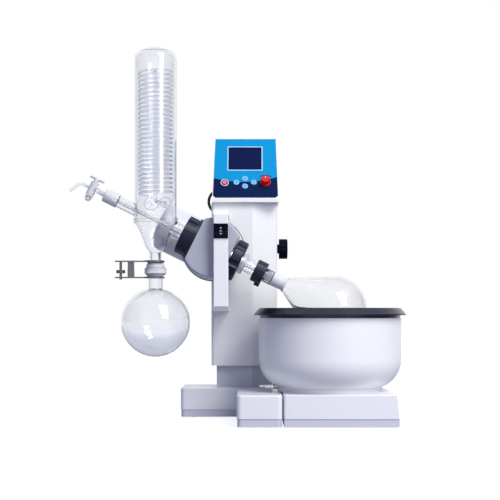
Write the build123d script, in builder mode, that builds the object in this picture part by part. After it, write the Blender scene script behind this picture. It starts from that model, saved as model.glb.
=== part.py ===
# Rotary evaporator for the bench: stand, lifting column, tilting drive head, glassware and water bath.
# Lengths are millimetres. +X runs to the bath, +Y to the back, +Z up. The origin lies on the bench
# under the middle of the whole outline. The glass, the drive and the flask share one upright plane.

from build123d import *
from math import asin, atan2, cos, degrees, hypot, pi, radians, sin, sqrt
import os

os.makedirs("parts", exist_ok=True)

# Overall layout
drive_y = -7.0
column_x = 15.0
pivot_x = -44.7
pivot_z = 326.6
drive_tilt = 26.5
glass_x = -153.5
bath_x = 176.0
bath_y = -27.0

# Clearances shared by the whole machine
overrun = 1.0
running_gap = 0.05
seat_gap = 0.3
slide_gap = 0.5
press_gap = 0.02

# Stand
base_height = 58.0
base_wall = 3.5
base_corner = 9.0
base_edge = 3.0
beam_width = 250.0
beam_depth = 112.0
beam_front_y = 58.0
foot_width = 82.0
foot_x = 43.0
foot_front_y = -142.0
plinth_height = 14.0
plinth_inset = 1.2
rubber_height = 1.5
rubber_radius = 11.0
rubber_edge = 0.5
rubber_inset = 25.0
stem_radius = 3.0
stem_height = 6.0
base_plate_thickness = 2.0

# Column: a sleeve that telescopes over a fixed mast of the same faceted section
column_width = 130.0
column_depth = 92.0
column_front_y = 70.0
facet_x = 31.3
facet_setback = 20.0
column_corner = 6.0
sleeve_bottom_z = 101.0
sleeve_top_z = 422.0
sleeve_wall = 3.0
sleeve_cap = 4.0
mast_inset = 10.0
mast_wall = 3.0
mast_top_z = 372.0
mast_flange_reach = 5.0
mast_flange_thickness = 5.0
pad_width = 16.0
pad_height = 30.0
pad_gap = 0.2
pad_margin = 12.0
lift_up = 110.0

# Lift actuator inside the mast
actuator_offset = 16.0
actuator_tube_radius = 14.0
actuator_tube_top_z = 250.0
actuator_gearbox_width = 76.0
actuator_gearbox_depth = 34.0
actuator_gearbox_height = 36.0
actuator_gearbox_corner = 6.0
actuator_motor_offset = 40.0
actuator_motor_radius = 15.0
actuator_motor_height = 110.0
rod_radius = 9.0
rod_overlap = 140.0

# Console on top of the column
console_x = 17.0
console_width = 131.0
console_top_width = 125.0
console_front_y = 60.0
console_top_y = 135.0
console_back_y = 175.0
console_lip = 7.0
console_top_z = 558.0
console_wall = 3.0
console_edge = 3.0
console_ledge = 5.0
panel_margin = 1.5
panel_thickness = 2.0
panel_corner = 5.0
panel_gap = 0.2
screen_x = 16.0
screen_rise = 98.0
screen_width = 67.0
screen_height = 57.0
screen_thickness = 1.6
screen_gap = 0.2
key_rise = 38.5
key_radius = 6.0
key_stand = 1.6
key_depth = 5.0
key_stem_radius = 2.0
key_travel = 1.2
key_edge = 0.8
power_x = -24.0
power_radius = 6.6
left_key_x = -0.9
middle_key_x = 16.0
right_key_x = 33.5
upper_key_lift = 9.1
lower_key_lift = -9.1
knob_x = 56.4
knob_radius = 10.3
knob_height = 13.0
knob_skirt = 3.0
knob_waist_radius = 8.6
knob_edge = 1.0
knob_flutes = 12
knob_flute_radius = 1.2
knob_shaft_radius = 3.0
board_width = 108.0
board_height = 118.0
board_rise = 72.0
board_depth = 15.0
board_thickness = 1.6
spacer_radius = 3.0
spacer_inset = 5.0
switch_side = 7.0
switch_depth = 8.7
encoder_side = 13.0
display_depth = 4.5

# Cable between the console and the column
cable_radius = 2.8
cable_bend_radius = 24.0
cable_top_rise = 22.0
cable_bottom_drop = 11.0
cable_reach_in = 7.0
cable_y = 112.0

# Front grip with the lift switch
grip_x = -27.8
grip_width = 27.5
grip_top_z = 395.0
grip_bottom_z = 208.0
grip_front_y = -73.0
grip_thickness = 13.0
grip_leg = 6.5
grip_chamfer = 9.0
grip_edge = 2.0
rocker_z = 355.8
rocker_side = 27.0
rocker_frame_depth = 3.0
rocker_rim = 3.2
rocker_depth = 7.0
rocker_stand = 1.4
rocker_gap = 0.8

# Side lock knob
lock_z = 333.5
lock_y = 125.0
lock_radius = 20.0
lock_thickness = 17.0
lock_stub_radius = 9.0
lock_stub_length = 4.0
lock_stud_radius = 4.0
lock_lobes = 8
lock_scallop_radius = 5.0
lock_scallop_share = 0.12
lock_edge = 1.5

# Tilt bracket and pivot
tilt_boss_radius = 20.0
tilt_plate_thickness = 8.0
tilt_plate_height = 80.0
tilt_plate_width = 44.0
tilt_pin_radius = 8.0
tilt_pin_length = 18.0

# Drive head
drum_radius = 56.0
drum_front = 44.0
drum_back = 36.0
drum_edge = 4.0
left_seat = -36.0
right_seat = 36.0
cover_radius = 59.0
cover_thickness = 4.0
ring_radius = 61.0
ring_inner_radius = 50.0
ring_thickness = 3.0
bearing_outer_radius = 26.0
bearing_width = 12.0
spindle_radius = 17.0
spindle_bore = 13.2
spindle_left = -35.0
spindle_right = 60.0
pulley_radius = 20.5
pulley_flange_radius = 23.2
pulley_flange = 1.0
motor_pulley_radius = 9.0
belt_width = 6.0
belt_thickness = 1.5
belt_plane = -29.0
belt_gap = 0.3
tunnel_left = -36.0
tunnel_right = -22.0
tunnel_half_height = 20.6
tunnel_wall = 2.0
motor_back_offset = 99.0
motor_shell_radius = 46.0
motor_shell_wall = 3.0
motor_shell_left = -122.0
motor_shell_corner = 16.0
motor_radius = 34.0
motor_length = 62.0
motor_shaft_radius = 4.0

# Seal flange and condenser nut
flange_radius = 41.0
flange_thickness = 7.0
nose_radius = 28.0
nose_length = 15.0
nose_bore = 18.0
nose_bore_depth = 12.0
seal_width = 4.0
nut_radius = 37.0
nut_length = 20.5
nut_wall = 4.5
nut_hole_radius = 19.5
nut_thread_gap = 0.3
nut_ribs = 10
nut_rib_width = 3.0
nut_rib_height = 1.5
nut_edge = 2.0

# Flask side of the spindle
ejector_radius = 39.6
ejector_start = 38.5
ejector_length = 20.0
ejector_scallops = 7
ejector_scallop_radius = 9.0
ejector_scallop_share = 0.22
ejector_edge = 2.0
collar_radius = 20.0
collar_length = 8.4
collar_edge = 1.5
duct_radius = 12.5
duct_bore = 10.5
duct_left = -54.0
duct_bead_at = 76.0
duct_bead_radius = 13.8
duct_bead_length = 6.0
joint_start = 106.0
joint_end = 138.0
joint_start_radius = 12.0
joint_end_radius = 10.6
clip_start = 88.4
clip_end = 109.3
clip_radius = 21.7
clip_wall = 3.6
clip_inner_radius = 17.6
clip_bump_radius = 5.0
clip_edge = 1.5
clip_ribs = 16
clip_rib_radius = 1.0
bail_wire_radius = 1.1
bail_bend_radius = 1.3
bail_half_span = 11.4
bail_length = 14.0
bail_front = 18.4
bail_eye_radius = 2.2
bail_eye_inner = 6.6
bail_eye_width = 3.4

# Evaporating flask
flask_wall = 2.0
flask_rim_start = 102.5
flask_rim_length = 4.0
flask_rim_radius = 16.2
flask_neck_radius = 14.2
flask_neck_end = 149.0
flask_throat_radius = 12.2
flask_centre = 257.5
flask_radius = 62.5

# Condenser, distribution head and coil
glass_wall = 2.2
jacket_radius = 40.0
jacket_shoulder_radius = 16.0
jacket_crown_radius = 58.0
jacket_top_z = 709.0
seam_z = 381.0
seam_radius = 42.7
seam_height = 5.0
funnel_mid_radius = 30.0
funnel_mid_z = 358.5
funnel_low_radius = 20.0
funnel_low_z = 332.0
outlet_radius = 11.0
outlet_top_z = 319.0
ball_z = 291.0
ball_radius = 17.4
ball_cut = 11.8
ball_bore = 7.5
branch_radius = 16.5
branch_right = -50.6
branch_left = -105.0
branch_bead_at = -80.0
branch_bead_radius = 18.4
branch_bead_length = 3.0
arm_radius = 11.5
arm_right = -150.0
arm_left = -201.0
socket_left = -229.0
socket_radius = 12.6
cone_wide_radius = 10.2
cone_narrow_radius = 8.8
cone_gap = 0.1
coil_radius = 31.0
coil_tube_radius = 3.3
coil_pitch = 23.6
coil_turns = 10
coil_bottom_z = 429.0
coil_bend = 7.0
port_radius = 4.5
port_length = 20.0
port_barb_radius = 5.6
port_barb_length = 4.0
port_bore = 2.6
water_port_z = 416.0
water_port_spread = 16.0
vacuum_port_z = 650.0

# Feed stopcock and feed tube
stem_glass_radius = 5.5
stopcock_at = -255.2
barrel_radius = 7.5
barrel_low = -22.0
barrel_high = 13.0
plug_radius = 5.0
plug_tip_radius = 4.2
plug_top = 21.0
plug_tip = -25.0
plug_bore = 1.5
handle_radius = 3.0
handle_length = 28.0
nozzle_radius = 3.0
nozzle_bore = 1.7
nozzle_corner_x = -296.0
nozzle_corner_z = 452.0
nozzle_tip_x = -316.5
nozzle_tip_z = 436.0
nozzle_bend = 14.0
feed_radius = 3.5
feed_bore = 2.2
feed_left = -243.0
feed_right = 150.0

# Receiving flask
receiver_z = 187.0
receiver_radius = 65.5
receiver_wall = 2.2
receiver_neck_radius = 14.0
cup_radius = 20.5
cup_top_z = 290.0
cup_low_z = 280.0
cup_base_z = 273.5
cup_gap = 0.15

# Clamp on the ball joint
jaw_thickness = 2.5
jaw_outer_radius = 22.0
jaw_slot_radius = 14.5
jaw_arm_width = 12.0
jaw_end_x = -230.0
upper_jaw_z = 301.5
lower_jaw_z = 270.7
jaw_block_x = -200.0
jaw_block_width = 12.0
jaw_pin_radius = 2.0
jaw_screw_x = -219.5
jaw_screw_radius = 2.5
jaw_nut_radius = 8.5
jaw_nut_height = 6.0
jaw_nut_z = 280.0
jaw_nut_flutes = 18
jaw_nut_flute_radius = 0.8

# Heating bath
bath_base_left = 86.0
bath_base_right = 294.0
bath_base_taper = 6.0
bath_base_depth = 198.0
bath_base_top_z = 58.5
bath_plinth_height = 14.0
bath_rubber_radius = 9.0
bath_rubber_inset = 24.0
bowl_radius = 133.3
bowl_foot_radius = 98.0
bowl_straight_z = 118.0
bowl_curve_radius = 54.5
bowl_top_z = 195.5
bowl_wall = 3.0
rim_radius = 142.6
rim_top_radius = 132.3
rim_inner_radius = 122.5
rim_top_z = 214.0
rim_low_z = 202.5
rim_edge_z = 200.5
rim_setback = 1.5
rim_skirt_radius = 129.5
rim_thickness = 4.0
pan_radius = 124.5
pan_wall = 1.2
pan_bottom_z = 78.0
pan_corner = 40.0
pan_lip_radius = 129.0
heater_radius = 85.0
heater_tube_radius = 4.0
cock_z = 66.5
cock_radius = 4.5
cock_end_x = 55.0
cock_inside = 5.0
cock_bore = 1.8
cock_barb_radius = 3.2
cock_barb_length = 11.0
cock_plug_x = 62.0
cock_plug_radius = 3.6
cock_plug_reach = 9.0
lever_length = 15.0
lever_width = 5.0
lever_thickness = 2.0

# Places worked out from the sizes above
column_back_y = column_front_y + column_depth
column_left_x = column_x - column_width / 2
column_right_x = column_x + column_width / 2
column_y = (column_front_y + column_back_y) / 2
mast_bottom_z = rubber_height + base_plate_thickness
console_face_length = hypot(console_top_y - console_front_y, console_top_z - sleeve_top_z - console_lip)
console_slope = atan2(console_top_z - sleeve_top_z - console_lip, console_top_y - console_front_y)
cover_front_y = drive_y + drum_back
ring_front_y = cover_front_y + cover_thickness
ring_back_y = ring_front_y + ring_thickness
motor_y = drive_y + motor_back_offset
tilt = radians(drive_tilt)

# The drive axis runs down to the right through the pivot; its section plane holds it and faces forward
drive_axis = Axis(origin=(pivot_x, drive_y, pivot_z), direction=(cos(tilt), 0, -sin(tilt)))
drive_section = Plane(
    origin=(pivot_x, drive_y, pivot_z), x_dir=(cos(tilt), 0, -sin(tilt)), z_dir=(0, -1, 0)
)
motor_axis = Axis(origin=(pivot_x, motor_y, pivot_z), direction=(cos(tilt), 0, -sin(tilt)))
motor_section = Plane(
    origin=(pivot_x, motor_y, pivot_z), x_dir=(cos(tilt), 0, -sin(tilt)), z_dir=(0, -1, 0)
)
glass_section = Plane(origin=(glass_x, drive_y, 0), x_dir=(1, 0, 0), z_dir=(0, -1, 0))
glass_axis = Axis(origin=(glass_x, drive_y, 0), direction=(0, 0, 1))
bath_section = Plane(origin=(bath_x, bath_y, 0), x_dir=(1, 0, 0), z_dir=(0, -1, 0))
bath_axis = Axis(origin=(bath_x, bath_y, 0), direction=(0, 0, 1))
panel_plane = Plane(
    origin=(console_x, console_front_y, sleeve_top_z + console_lip),
    x_dir=(1, 0, 0),
    z_dir=(0, -sin(console_slope), cos(console_slope)),
)


def across_drive(distance):
    """A plane square to the drive axis, its own z along the axis and its own x up from it."""
    along = (cos(tilt), 0, -sin(tilt))
    origin = (pivot_x + distance * along[0], drive_y, pivot_z + distance * along[2])
    return Plane(origin=origin, x_dir=(sin(tilt), 0, cos(tilt)), z_dir=along)


def across_motor(distance):
    """The same kind of plane on the motor's axis, behind the drive axis."""
    along = (cos(tilt), 0, -sin(tilt))
    origin = (pivot_x + distance * along[0], motor_y, pivot_z + distance * along[2])
    return Plane(origin=origin, x_dir=(sin(tilt), 0, cos(tilt)), z_dir=along)


def inset_corners(corners, inset):
    """Corners of a convex outline, listed anticlockwise, once every side has moved in by the inset."""
    moved = []
    before, after = corners[-1:] + corners[:-1], corners[1:] + corners[:1]
    for previous, here, following in zip(before, corners, after):
        into = (Vector(*here) - Vector(*previous)).normalized()
        away = (Vector(*following) - Vector(*here)).normalized()
        inward = Vector(-into.Y - away.Y, into.X + away.X)
        moved.append(Vector(*here) + inward * (inset / (1 + into.dot(away))))
    return [(corner.X, corner.Y) for corner in moved]


def base_outline(inset):
    """Plan of the stand: the rear beam with the forward foot, drawn smaller by the inset."""
    foot_back_y = beam_front_y + beam_depth / 2
    foot_length = foot_back_y - foot_front_y - inset
    with Locations((column_x, beam_front_y + beam_depth / 2)):
        Rectangle(beam_width - 2 * inset, beam_depth - 2 * inset)
    with Locations((foot_x, foot_back_y - foot_length / 2)):
        Rectangle(foot_width - 2 * inset, foot_length)


def column_outline(inset):
    """Plan of the column: a box whose front right corner is cut back to an angled facet."""
    corners = [
        (column_left_x, column_front_y),
        (facet_x, column_front_y),
        (column_right_x, column_front_y + facet_setback),
        (column_right_x, column_back_y),
        (column_left_x, column_back_y),
    ]
    Polygon(*inset_corners(corners, inset), align=None)


# Stand
with BuildPart() as base_casting:
    plinth_top_z = rubber_height + plinth_height
    with BuildSketch(Plane.XY.offset(plinth_top_z)) as upper_plan:
        base_outline(0)
        fillet(upper_plan.vertices(), base_corner)
    extrude(amount=base_height - plinth_top_z)
    fillet(base_casting.faces().sort_by(Axis.Z)[-1].edges(), base_edge)
    with BuildSketch(Plane.XY.offset(rubber_height)) as plinth_plan:
        base_outline(plinth_inset)
        fillet(plinth_plan.vertices(), base_corner - plinth_inset)
    extrude(amount=plinth_height)
    with BuildSketch(Plane.XY.offset(rubber_height)) as hollow_plan:
        base_outline(base_wall)
        fillet(hollow_plan.vertices(), base_corner - base_wall)
    extrude(amount=base_height - base_wall - rubber_height, mode=Mode.SUBTRACT)
    with BuildSketch(Plane.XY.offset(base_height + overrun)):
        column_outline(mast_inset - seat_gap)
    extrude(amount=-base_wall - 2 * overrun, mode=Mode.SUBTRACT)
base_casting.part.label = "base_casting"
export_step(base_casting.part, "parts/base_casting.step")

rubber_places = [
    (column_x - beam_width / 2 + rubber_inset, beam_front_y + rubber_inset),
    (column_x + beam_width / 2 - rubber_inset, beam_front_y + rubber_inset),
    (column_x - beam_width / 2 + rubber_inset, beam_front_y + beam_depth - rubber_inset),
    (column_x + beam_width / 2 - rubber_inset, beam_front_y + beam_depth - rubber_inset),
    (foot_x - foot_width / 2 + rubber_inset, foot_front_y + rubber_inset),
    (foot_x + foot_width / 2 - rubber_inset, foot_front_y + rubber_inset),
]
mast_left_x = column_left_x + mast_inset
mast_right_x = column_right_x - mast_inset
mast_back_y = column_back_y - mast_inset
mast_front_y = column_front_y + mast_inset
flange_width = mast_right_x - mast_left_x + 2 * mast_flange_reach
flange_depth = mast_back_y - mast_front_y + 2 * mast_flange_reach

with BuildPart() as base_plate:
    with BuildSketch(Plane.XY.offset(rubber_height)) as plate_plan:
        base_outline(base_wall + seat_gap)
        fillet(plate_plan.vertices(), base_corner - base_wall - seat_gap)
        with Locations(*rubber_places):
            Circle(stem_radius, mode=Mode.SUBTRACT)
    extrude(amount=base_plate_thickness)
base_plate.part.label = "base_plate"
export_step(base_plate.part, "parts/base_plate.step")

with BuildPart() as rubber_feet:
    with BuildSketch():
        with Locations(*rubber_places):
            Circle(rubber_radius)
    extrude(amount=rubber_height)
    chamfer(rubber_feet.edges().group_by(Axis.Z)[0], rubber_edge)
    with BuildSketch(Plane.XY.offset(rubber_height)):
        with Locations(*rubber_places):
            Circle(stem_radius - press_gap)
    extrude(amount=stem_height)
rubber_feet.part.label = "rubber_feet"
export_step(rubber_feet.part, "parts/rubber_feet.step")

with BuildPart() as mast:
    with BuildSketch(Plane.XY.offset(mast_bottom_z)):
        with Locations((column_x, column_y)):
            Rectangle(flange_width, flange_depth)
    extrude(amount=mast_flange_thickness)
    with BuildSketch(Plane.XY.offset(mast_bottom_z + mast_flange_thickness)):
        column_outline(mast_inset)
    extrude(amount=mast_top_z - mast_bottom_z - mast_flange_thickness)
    with BuildSketch(Plane.XY.offset(mast_bottom_z + mast_flange_thickness)):
        column_outline(mast_inset + mast_wall)
    extrude(amount=mast_top_z, mode=Mode.SUBTRACT)
mast.part.label = "mast"
export_step(mast.part, "parts/mast.step")

actuator_bottom_z = mast_bottom_z + mast_flange_thickness
actuator_shoulder_z = actuator_bottom_z + actuator_gearbox_height
actuator_x = column_x - actuator_offset
rod_bottom_z = actuator_tube_top_z - rod_overlap
with BuildPart() as lift_actuator:
    gearbox_x = actuator_x + actuator_motor_offset / 2
    with BuildSketch(Plane.XY.offset(actuator_bottom_z)) as gearbox_plan:
        with Locations((gearbox_x, column_y)):
            RectangleRounded(actuator_gearbox_width, actuator_gearbox_depth, actuator_gearbox_corner)
    extrude(amount=actuator_gearbox_height)
    with BuildSketch(Plane.XY.offset(actuator_shoulder_z)):
        with Locations((actuator_x, column_y)):
            Circle(actuator_tube_radius)
    extrude(amount=actuator_tube_top_z - actuator_shoulder_z)
    with BuildSketch(Plane.XY.offset(actuator_tube_top_z)):
        with Locations((actuator_x, column_y)):
            Circle(rod_radius + running_gap)
    extrude(amount=actuator_shoulder_z - actuator_tube_top_z, mode=Mode.SUBTRACT)
    with BuildSketch(Plane.XY.offset(actuator_shoulder_z)):
        with Locations((actuator_x + actuator_motor_offset, column_y)):
            Circle(actuator_motor_radius)
    extrude(amount=actuator_motor_height)
lift_actuator.part.label = "lift_actuator"
export_step(lift_actuator.part, "parts/lift_actuator.step")

# Lifting column
cap_bottom_z = sleeve_top_z - sleeve_cap
with BuildPart() as actuator_rod:
    with BuildSketch(Plane.XY.offset(rod_bottom_z)):
        with Locations((actuator_x, column_y)):
            Circle(rod_radius)
    extrude(amount=cap_bottom_z - rod_bottom_z)
actuator_rod.part.label = "actuator_rod"
export_step(actuator_rod.part, "parts/actuator_rod.step")

# The cable leaves the console's side, bends down and goes back in through the column's side
cable_side_x = column_left_x
cable_middle_z = sleeve_top_z + (cable_top_rise - cable_bottom_drop) / 2
cable_half = (cable_top_rise + cable_bottom_drop) / 2
cable_centre_x = cable_side_x + sqrt(cable_bend_radius**2 - cable_half**2)
cable_end_x = cable_side_x + cable_reach_in
cable_end_rise = sqrt(cable_bend_radius**2 - (cable_centre_x - cable_end_x) ** 2)


def cable_body(radius):
    """The cable, or with a larger radius the hole it passes through."""
    with BuildPart() as cable:
        with BuildLine() as route:
            ThreePointArc(
                (cable_end_x, cable_y, cable_middle_z + cable_end_rise),
                (cable_centre_x - cable_bend_radius, cable_y, cable_middle_z),
                (cable_end_x, cable_y, cable_middle_z - cable_end_rise),
            )
        with BuildSketch(Plane(origin=route.line @ 0, z_dir=route.line % 0)):
            Circle(radius)
        sweep(path=route.line)
    return cable.part


cable_way = cable_body(cable_radius + seat_gap)
cable_run = cable_body(cable_radius)
with BuildPart() as head_cable:
    add(cable_run)
head_cable.part.label = "head_cable"
export_step(head_cable.part, "parts/head_cable.step")

with BuildPart() as lift_sleeve:
    with BuildSketch(Plane.XY.offset(sleeve_bottom_z)) as sleeve_plan:
        column_outline(0)
        fillet(sleeve_plan.vertices(), column_corner)
    extrude(amount=sleeve_top_z - sleeve_bottom_z)
    with BuildSketch(Plane.XY.offset(sleeve_bottom_z)):
        column_outline(sleeve_wall)
    extrude(amount=cap_bottom_z - sleeve_bottom_z, mode=Mode.SUBTRACT)
    with BuildSketch(Plane.YZ.offset(column_right_x + overrun)):
        with Locations((lock_y, lock_z)):
            Circle(lock_stud_radius + running_gap)
    extrude(amount=-sleeve_wall - 2 * overrun, mode=Mode.SUBTRACT)
    add(cable_way, mode=Mode.SUBTRACT)
lift_sleeve.part.label = "lift_sleeve"
export_step(lift_sleeve.part, "parts/lift_sleeve.step")

pad_thickness = mast_inset - sleeve_wall - pad_gap
pad_levels = [sleeve_bottom_z + pad_margin, mast_top_z - pad_margin - lift_up / 2 - pad_height]
side_pad_y = column_y
front_pad_x = (column_left_x + facet_x) / 2
with BuildPart() as guide_pads:
    for pad_z in pad_levels:
        with BuildSketch(Plane.XY.offset(pad_z)):
            with Locations(
                (column_left_x + sleeve_wall + pad_thickness / 2, side_pad_y),
                (column_right_x - sleeve_wall - pad_thickness / 2, side_pad_y),
            ):
                Rectangle(pad_thickness, pad_width)
            with Locations(
                (front_pad_x, column_front_y + sleeve_wall + pad_thickness / 2),
                (front_pad_x, column_back_y - sleeve_wall - pad_thickness / 2),
            ):
                Rectangle(pad_width, pad_thickness)
        extrude(amount=pad_height)
guide_pads.part.label = "guide_pads"
export_step(guide_pads.part, "parts/guide_pads.step")


def console_body(inset):
    """The console's wedge, drawn smaller by the inset on every side."""
    side_corners = [
        (console_front_y, sleeve_top_z),
        (console_back_y, sleeve_top_z),
        (console_back_y, console_top_z),
        (console_top_y, console_top_z),
        (console_front_y, sleeve_top_z + console_lip),
    ]
    front_corners = [
        (console_x - console_width / 2, sleeve_top_z),
        (console_x + console_width / 2, sleeve_top_z),
        (console_x + console_top_width / 2, console_top_z),
        (console_x - console_top_width / 2, console_top_z),
    ]
    with BuildPart() as wedge:
        with BuildSketch(Plane.YZ.offset(console_x - console_width / 2)):
            Polygon(*inset_corners(side_corners, inset), align=None)
        extrude(amount=console_width)
        with BuildSketch(Plane.XZ.offset(-console_back_y)):
            Polygon(*inset_corners(front_corners, inset), align=None)
        extrude(amount=console_back_y - console_front_y, mode=Mode.INTERSECT)
    return wedge.part


def panel_outline(inset):
    """The panel's face: nearly the whole sloping front, with its two lower corners cut off."""
    low_half = console_width / 2 - panel_margin
    high_half = console_top_width / 2 - panel_margin
    corners = [
        (-low_half + panel_corner, panel_margin),
        (low_half - panel_corner, panel_margin),
        (low_half, panel_margin + panel_corner),
        (high_half, console_face_length - panel_margin),
        (-high_half, console_face_length - panel_margin),
        (-low_half, panel_margin + panel_corner),
    ]
    Polygon(*inset_corners(corners, inset), align=None)


console_block = console_body(0)
console_hollow = console_body(console_wall)
with BuildPart() as console_shell:
    add(console_block)
    fillet(console_shell.edges().filter_by(Axis.X).group_by(Axis.Z)[-1], console_edge)
    fillet(console_shell.edges().filter_by(Axis.X).sort_by(Axis.Y)[-1], console_edge)
    add(console_hollow, mode=Mode.SUBTRACT)
    with BuildSketch(panel_plane):
        panel_outline(0)
    extrude(amount=-panel_thickness, mode=Mode.SUBTRACT)
    with BuildSketch(panel_plane):
        panel_outline(console_ledge)
    extrude(amount=-console_wall - overrun, mode=Mode.SUBTRACT)
    add(cable_way, mode=Mode.SUBTRACT)
console_shell.part.label = "console_shell"
export_step(console_shell.part, "parts/console_shell.step")

# Controls on the sloping panel: name, place across, place up the slope, radius
keys = {
    "power_button": (power_x, key_rise, power_radius),
    "left_key": (left_key_x, key_rise, key_radius),
    "upper_key": (middle_key_x, key_rise + upper_key_lift, key_radius),
    "lower_key": (middle_key_x, key_rise + lower_key_lift, key_radius),
    "right_key": (right_key_x, key_rise, key_radius),
}
with BuildPart() as control_panel:
    with BuildSketch(panel_plane):
        panel_outline(panel_gap)
        for across, rise, radius in keys.values():
            with Locations((across - console_x, rise)):
                Circle(radius + panel_gap, mode=Mode.SUBTRACT)
        with Locations((knob_x - console_x, key_rise)):
            Circle(knob_shaft_radius + panel_gap, mode=Mode.SUBTRACT)
        with Locations((screen_x - console_x, screen_rise)):
            Rectangle(screen_width, screen_height, mode=Mode.SUBTRACT)
    extrude(amount=-panel_thickness)
control_panel.part.label = "control_panel"
export_step(control_panel.part, "parts/control_panel.step")

with BuildPart() as display_window:
    with BuildSketch(panel_plane):
        with Locations((screen_x - console_x, screen_rise)):
            Rectangle(screen_width - 2 * screen_gap, screen_height - 2 * screen_gap)
    extrude(amount=-screen_thickness)
display_window.part.label = "display_window"
export_step(display_window.part, "parts/display_window.step")

with BuildPart() as circuit_board:
    board_face = panel_plane.offset(-board_depth)
    with BuildSketch(board_face):
        with Locations((0, board_rise)):
            Rectangle(board_width, board_height)
    extrude(amount=-board_thickness)
    with BuildSketch(board_face):
        with Locations((0, board_rise)):
            with GridLocations(board_width - 2 * spacer_inset, board_height - 2 * spacer_inset, 2, 2):
                Circle(spacer_radius)
    extrude(amount=board_depth - panel_thickness)
    with BuildSketch(board_face):
        for across, rise, radius in keys.values():
            with Locations((across - console_x, rise)):
                Rectangle(switch_side, switch_side)
    extrude(amount=board_depth - switch_depth)
    with BuildSketch(board_face):
        with Locations((knob_x - console_x, key_rise)):
            Rectangle(encoder_side, encoder_side)
    extrude(amount=board_depth - switch_depth)
    with BuildSketch(board_face):
        with Locations((screen_x - console_x, screen_rise)):
            Rectangle(screen_width - 2 * screen_gap, screen_height - 2 * screen_gap)
    extrude(amount=board_depth - display_depth)
circuit_board.part.label = "circuit_board"
export_step(circuit_board.part, "parts/circuit_board.step")

for key_name, (across, rise, radius) in keys.items():
    with BuildPart() as key:
        with BuildSketch(panel_plane.offset(key_stand)):
            with Locations((across - console_x, rise)):
                Circle(radius)
        extrude(amount=-key_stand - key_depth)
        with BuildSketch(panel_plane.offset(-key_depth)):
            with Locations((across - console_x, rise)):
                Circle(key_stem_radius)
        extrude(amount=key_depth + key_travel + seat_gap - switch_depth)
        cap_rim = key.edges().filter_by(GeomType.CIRCLE).group_by(SortBy.RADIUS)[-1]
        fillet(cap_rim.sort_by(Axis(panel_plane.origin, panel_plane.z_dir))[-1], key_edge)
    key.part.label = key_name
    export_step(key.part, f"parts/{key_name}.step")

with BuildPart() as speed_knob:
    knob_plane = panel_plane.offset(seat_gap)
    with BuildSketch(knob_plane):
        with Locations((knob_x - console_x, key_rise)):
            Circle(knob_radius)
    extrude(amount=knob_skirt)
    with BuildSketch(knob_plane.offset(knob_skirt)):
        with Locations((knob_x - console_x, key_rise)):
            Circle(knob_waist_radius)
            with PolarLocations(knob_waist_radius, knob_flutes):
                Circle(knob_flute_radius, mode=Mode.SUBTRACT)
    extrude(amount=knob_height - knob_skirt)
    knob_top = speed_knob.faces().sort_by(Axis(knob_plane.origin, knob_plane.z_dir))[-1]
    chamfer(knob_top.outer_wire().edges(), knob_edge)
    with BuildSketch(knob_plane):
        with Locations((knob_x - console_x, key_rise)):
            Circle(knob_shaft_radius)
    extrude(amount=2 * seat_gap - switch_depth)
speed_knob.part.label = "speed_knob"
export_step(speed_knob.part, "parts/speed_knob.step")

grip_left_x = grip_x - grip_width / 2
with BuildPart() as front_grip:
    with BuildSketch(Plane.YZ.offset(grip_left_x)) as grip_side:
        with BuildLine():
            Polyline(
                (column_front_y, grip_top_z),
                (grip_front_y + grip_chamfer, grip_top_z),
                (grip_front_y, grip_top_z - grip_chamfer),
                (grip_front_y, grip_bottom_z + grip_chamfer),
                (grip_front_y + grip_chamfer, grip_bottom_z),
                (column_front_y, grip_bottom_z),
                (column_front_y, grip_bottom_z + grip_leg),
                (grip_front_y + grip_thickness, grip_bottom_z + grip_leg),
                (grip_front_y + grip_thickness, grip_top_z - grip_leg),
                (column_front_y, grip_top_z - grip_leg),
                close=True,
            )
        make_face()
    extrude(amount=grip_width)
    long_edges = front_grip.edges().filter_by(Axis.Z).group_by(Axis.Y)[0]
    fillet(long_edges, grip_edge)
    pocket_side = rocker_side - 2 * rocker_rim
    with BuildSketch(Plane.XZ.offset(-grip_front_y)):
        with Locations((grip_x, rocker_z)):
            Rectangle(pocket_side, pocket_side)
    extrude(amount=-rocker_depth - rocker_gap, mode=Mode.SUBTRACT)
front_grip.part.label = "front_grip"
export_step(front_grip.part, "parts/front_grip.step")

with BuildPart() as rocker_frame:
    with BuildSketch(Plane.XZ.offset(-grip_front_y)):
        with Locations((grip_x, rocker_z)):
            Rectangle(rocker_side, rocker_side)
            Rectangle(pocket_side, pocket_side, mode=Mode.SUBTRACT)
    extrude(amount=rocker_frame_depth)
    chamfer(rocker_frame.faces().sort_by(Axis.Y)[0].outer_wire().edges(), rocker_rim / 4)
rocker_frame.part.label = "rocker_frame"
export_step(rocker_frame.part, "parts/rocker_frame.step")

rocker_half = pocket_side / 2 - rocker_gap
rocker_pin_y = grip_front_y
with BuildPart() as lift_rocker:
    rocker_face_y = grip_front_y - rocker_frame_depth - rocker_stand
    with BuildSketch(Plane.YZ.offset(grip_x - rocker_half)):
        with BuildLine():
            Polyline(
                (rocker_pin_y, rocker_z + rocker_half),
                (rocker_face_y, rocker_z + rocker_half),
                (rocker_face_y + rocker_stand, rocker_z),
                (rocker_face_y, rocker_z - rocker_half),
                (rocker_pin_y, rocker_z - rocker_half),
                (rocker_pin_y + rocker_depth / 2, rocker_z),
                close=True,
            )
        make_face()
    extrude(amount=2 * rocker_half)
lift_rocker.part.label = "lift_rocker"
export_step(lift_rocker.part, "parts/lift_rocker.step")

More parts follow.
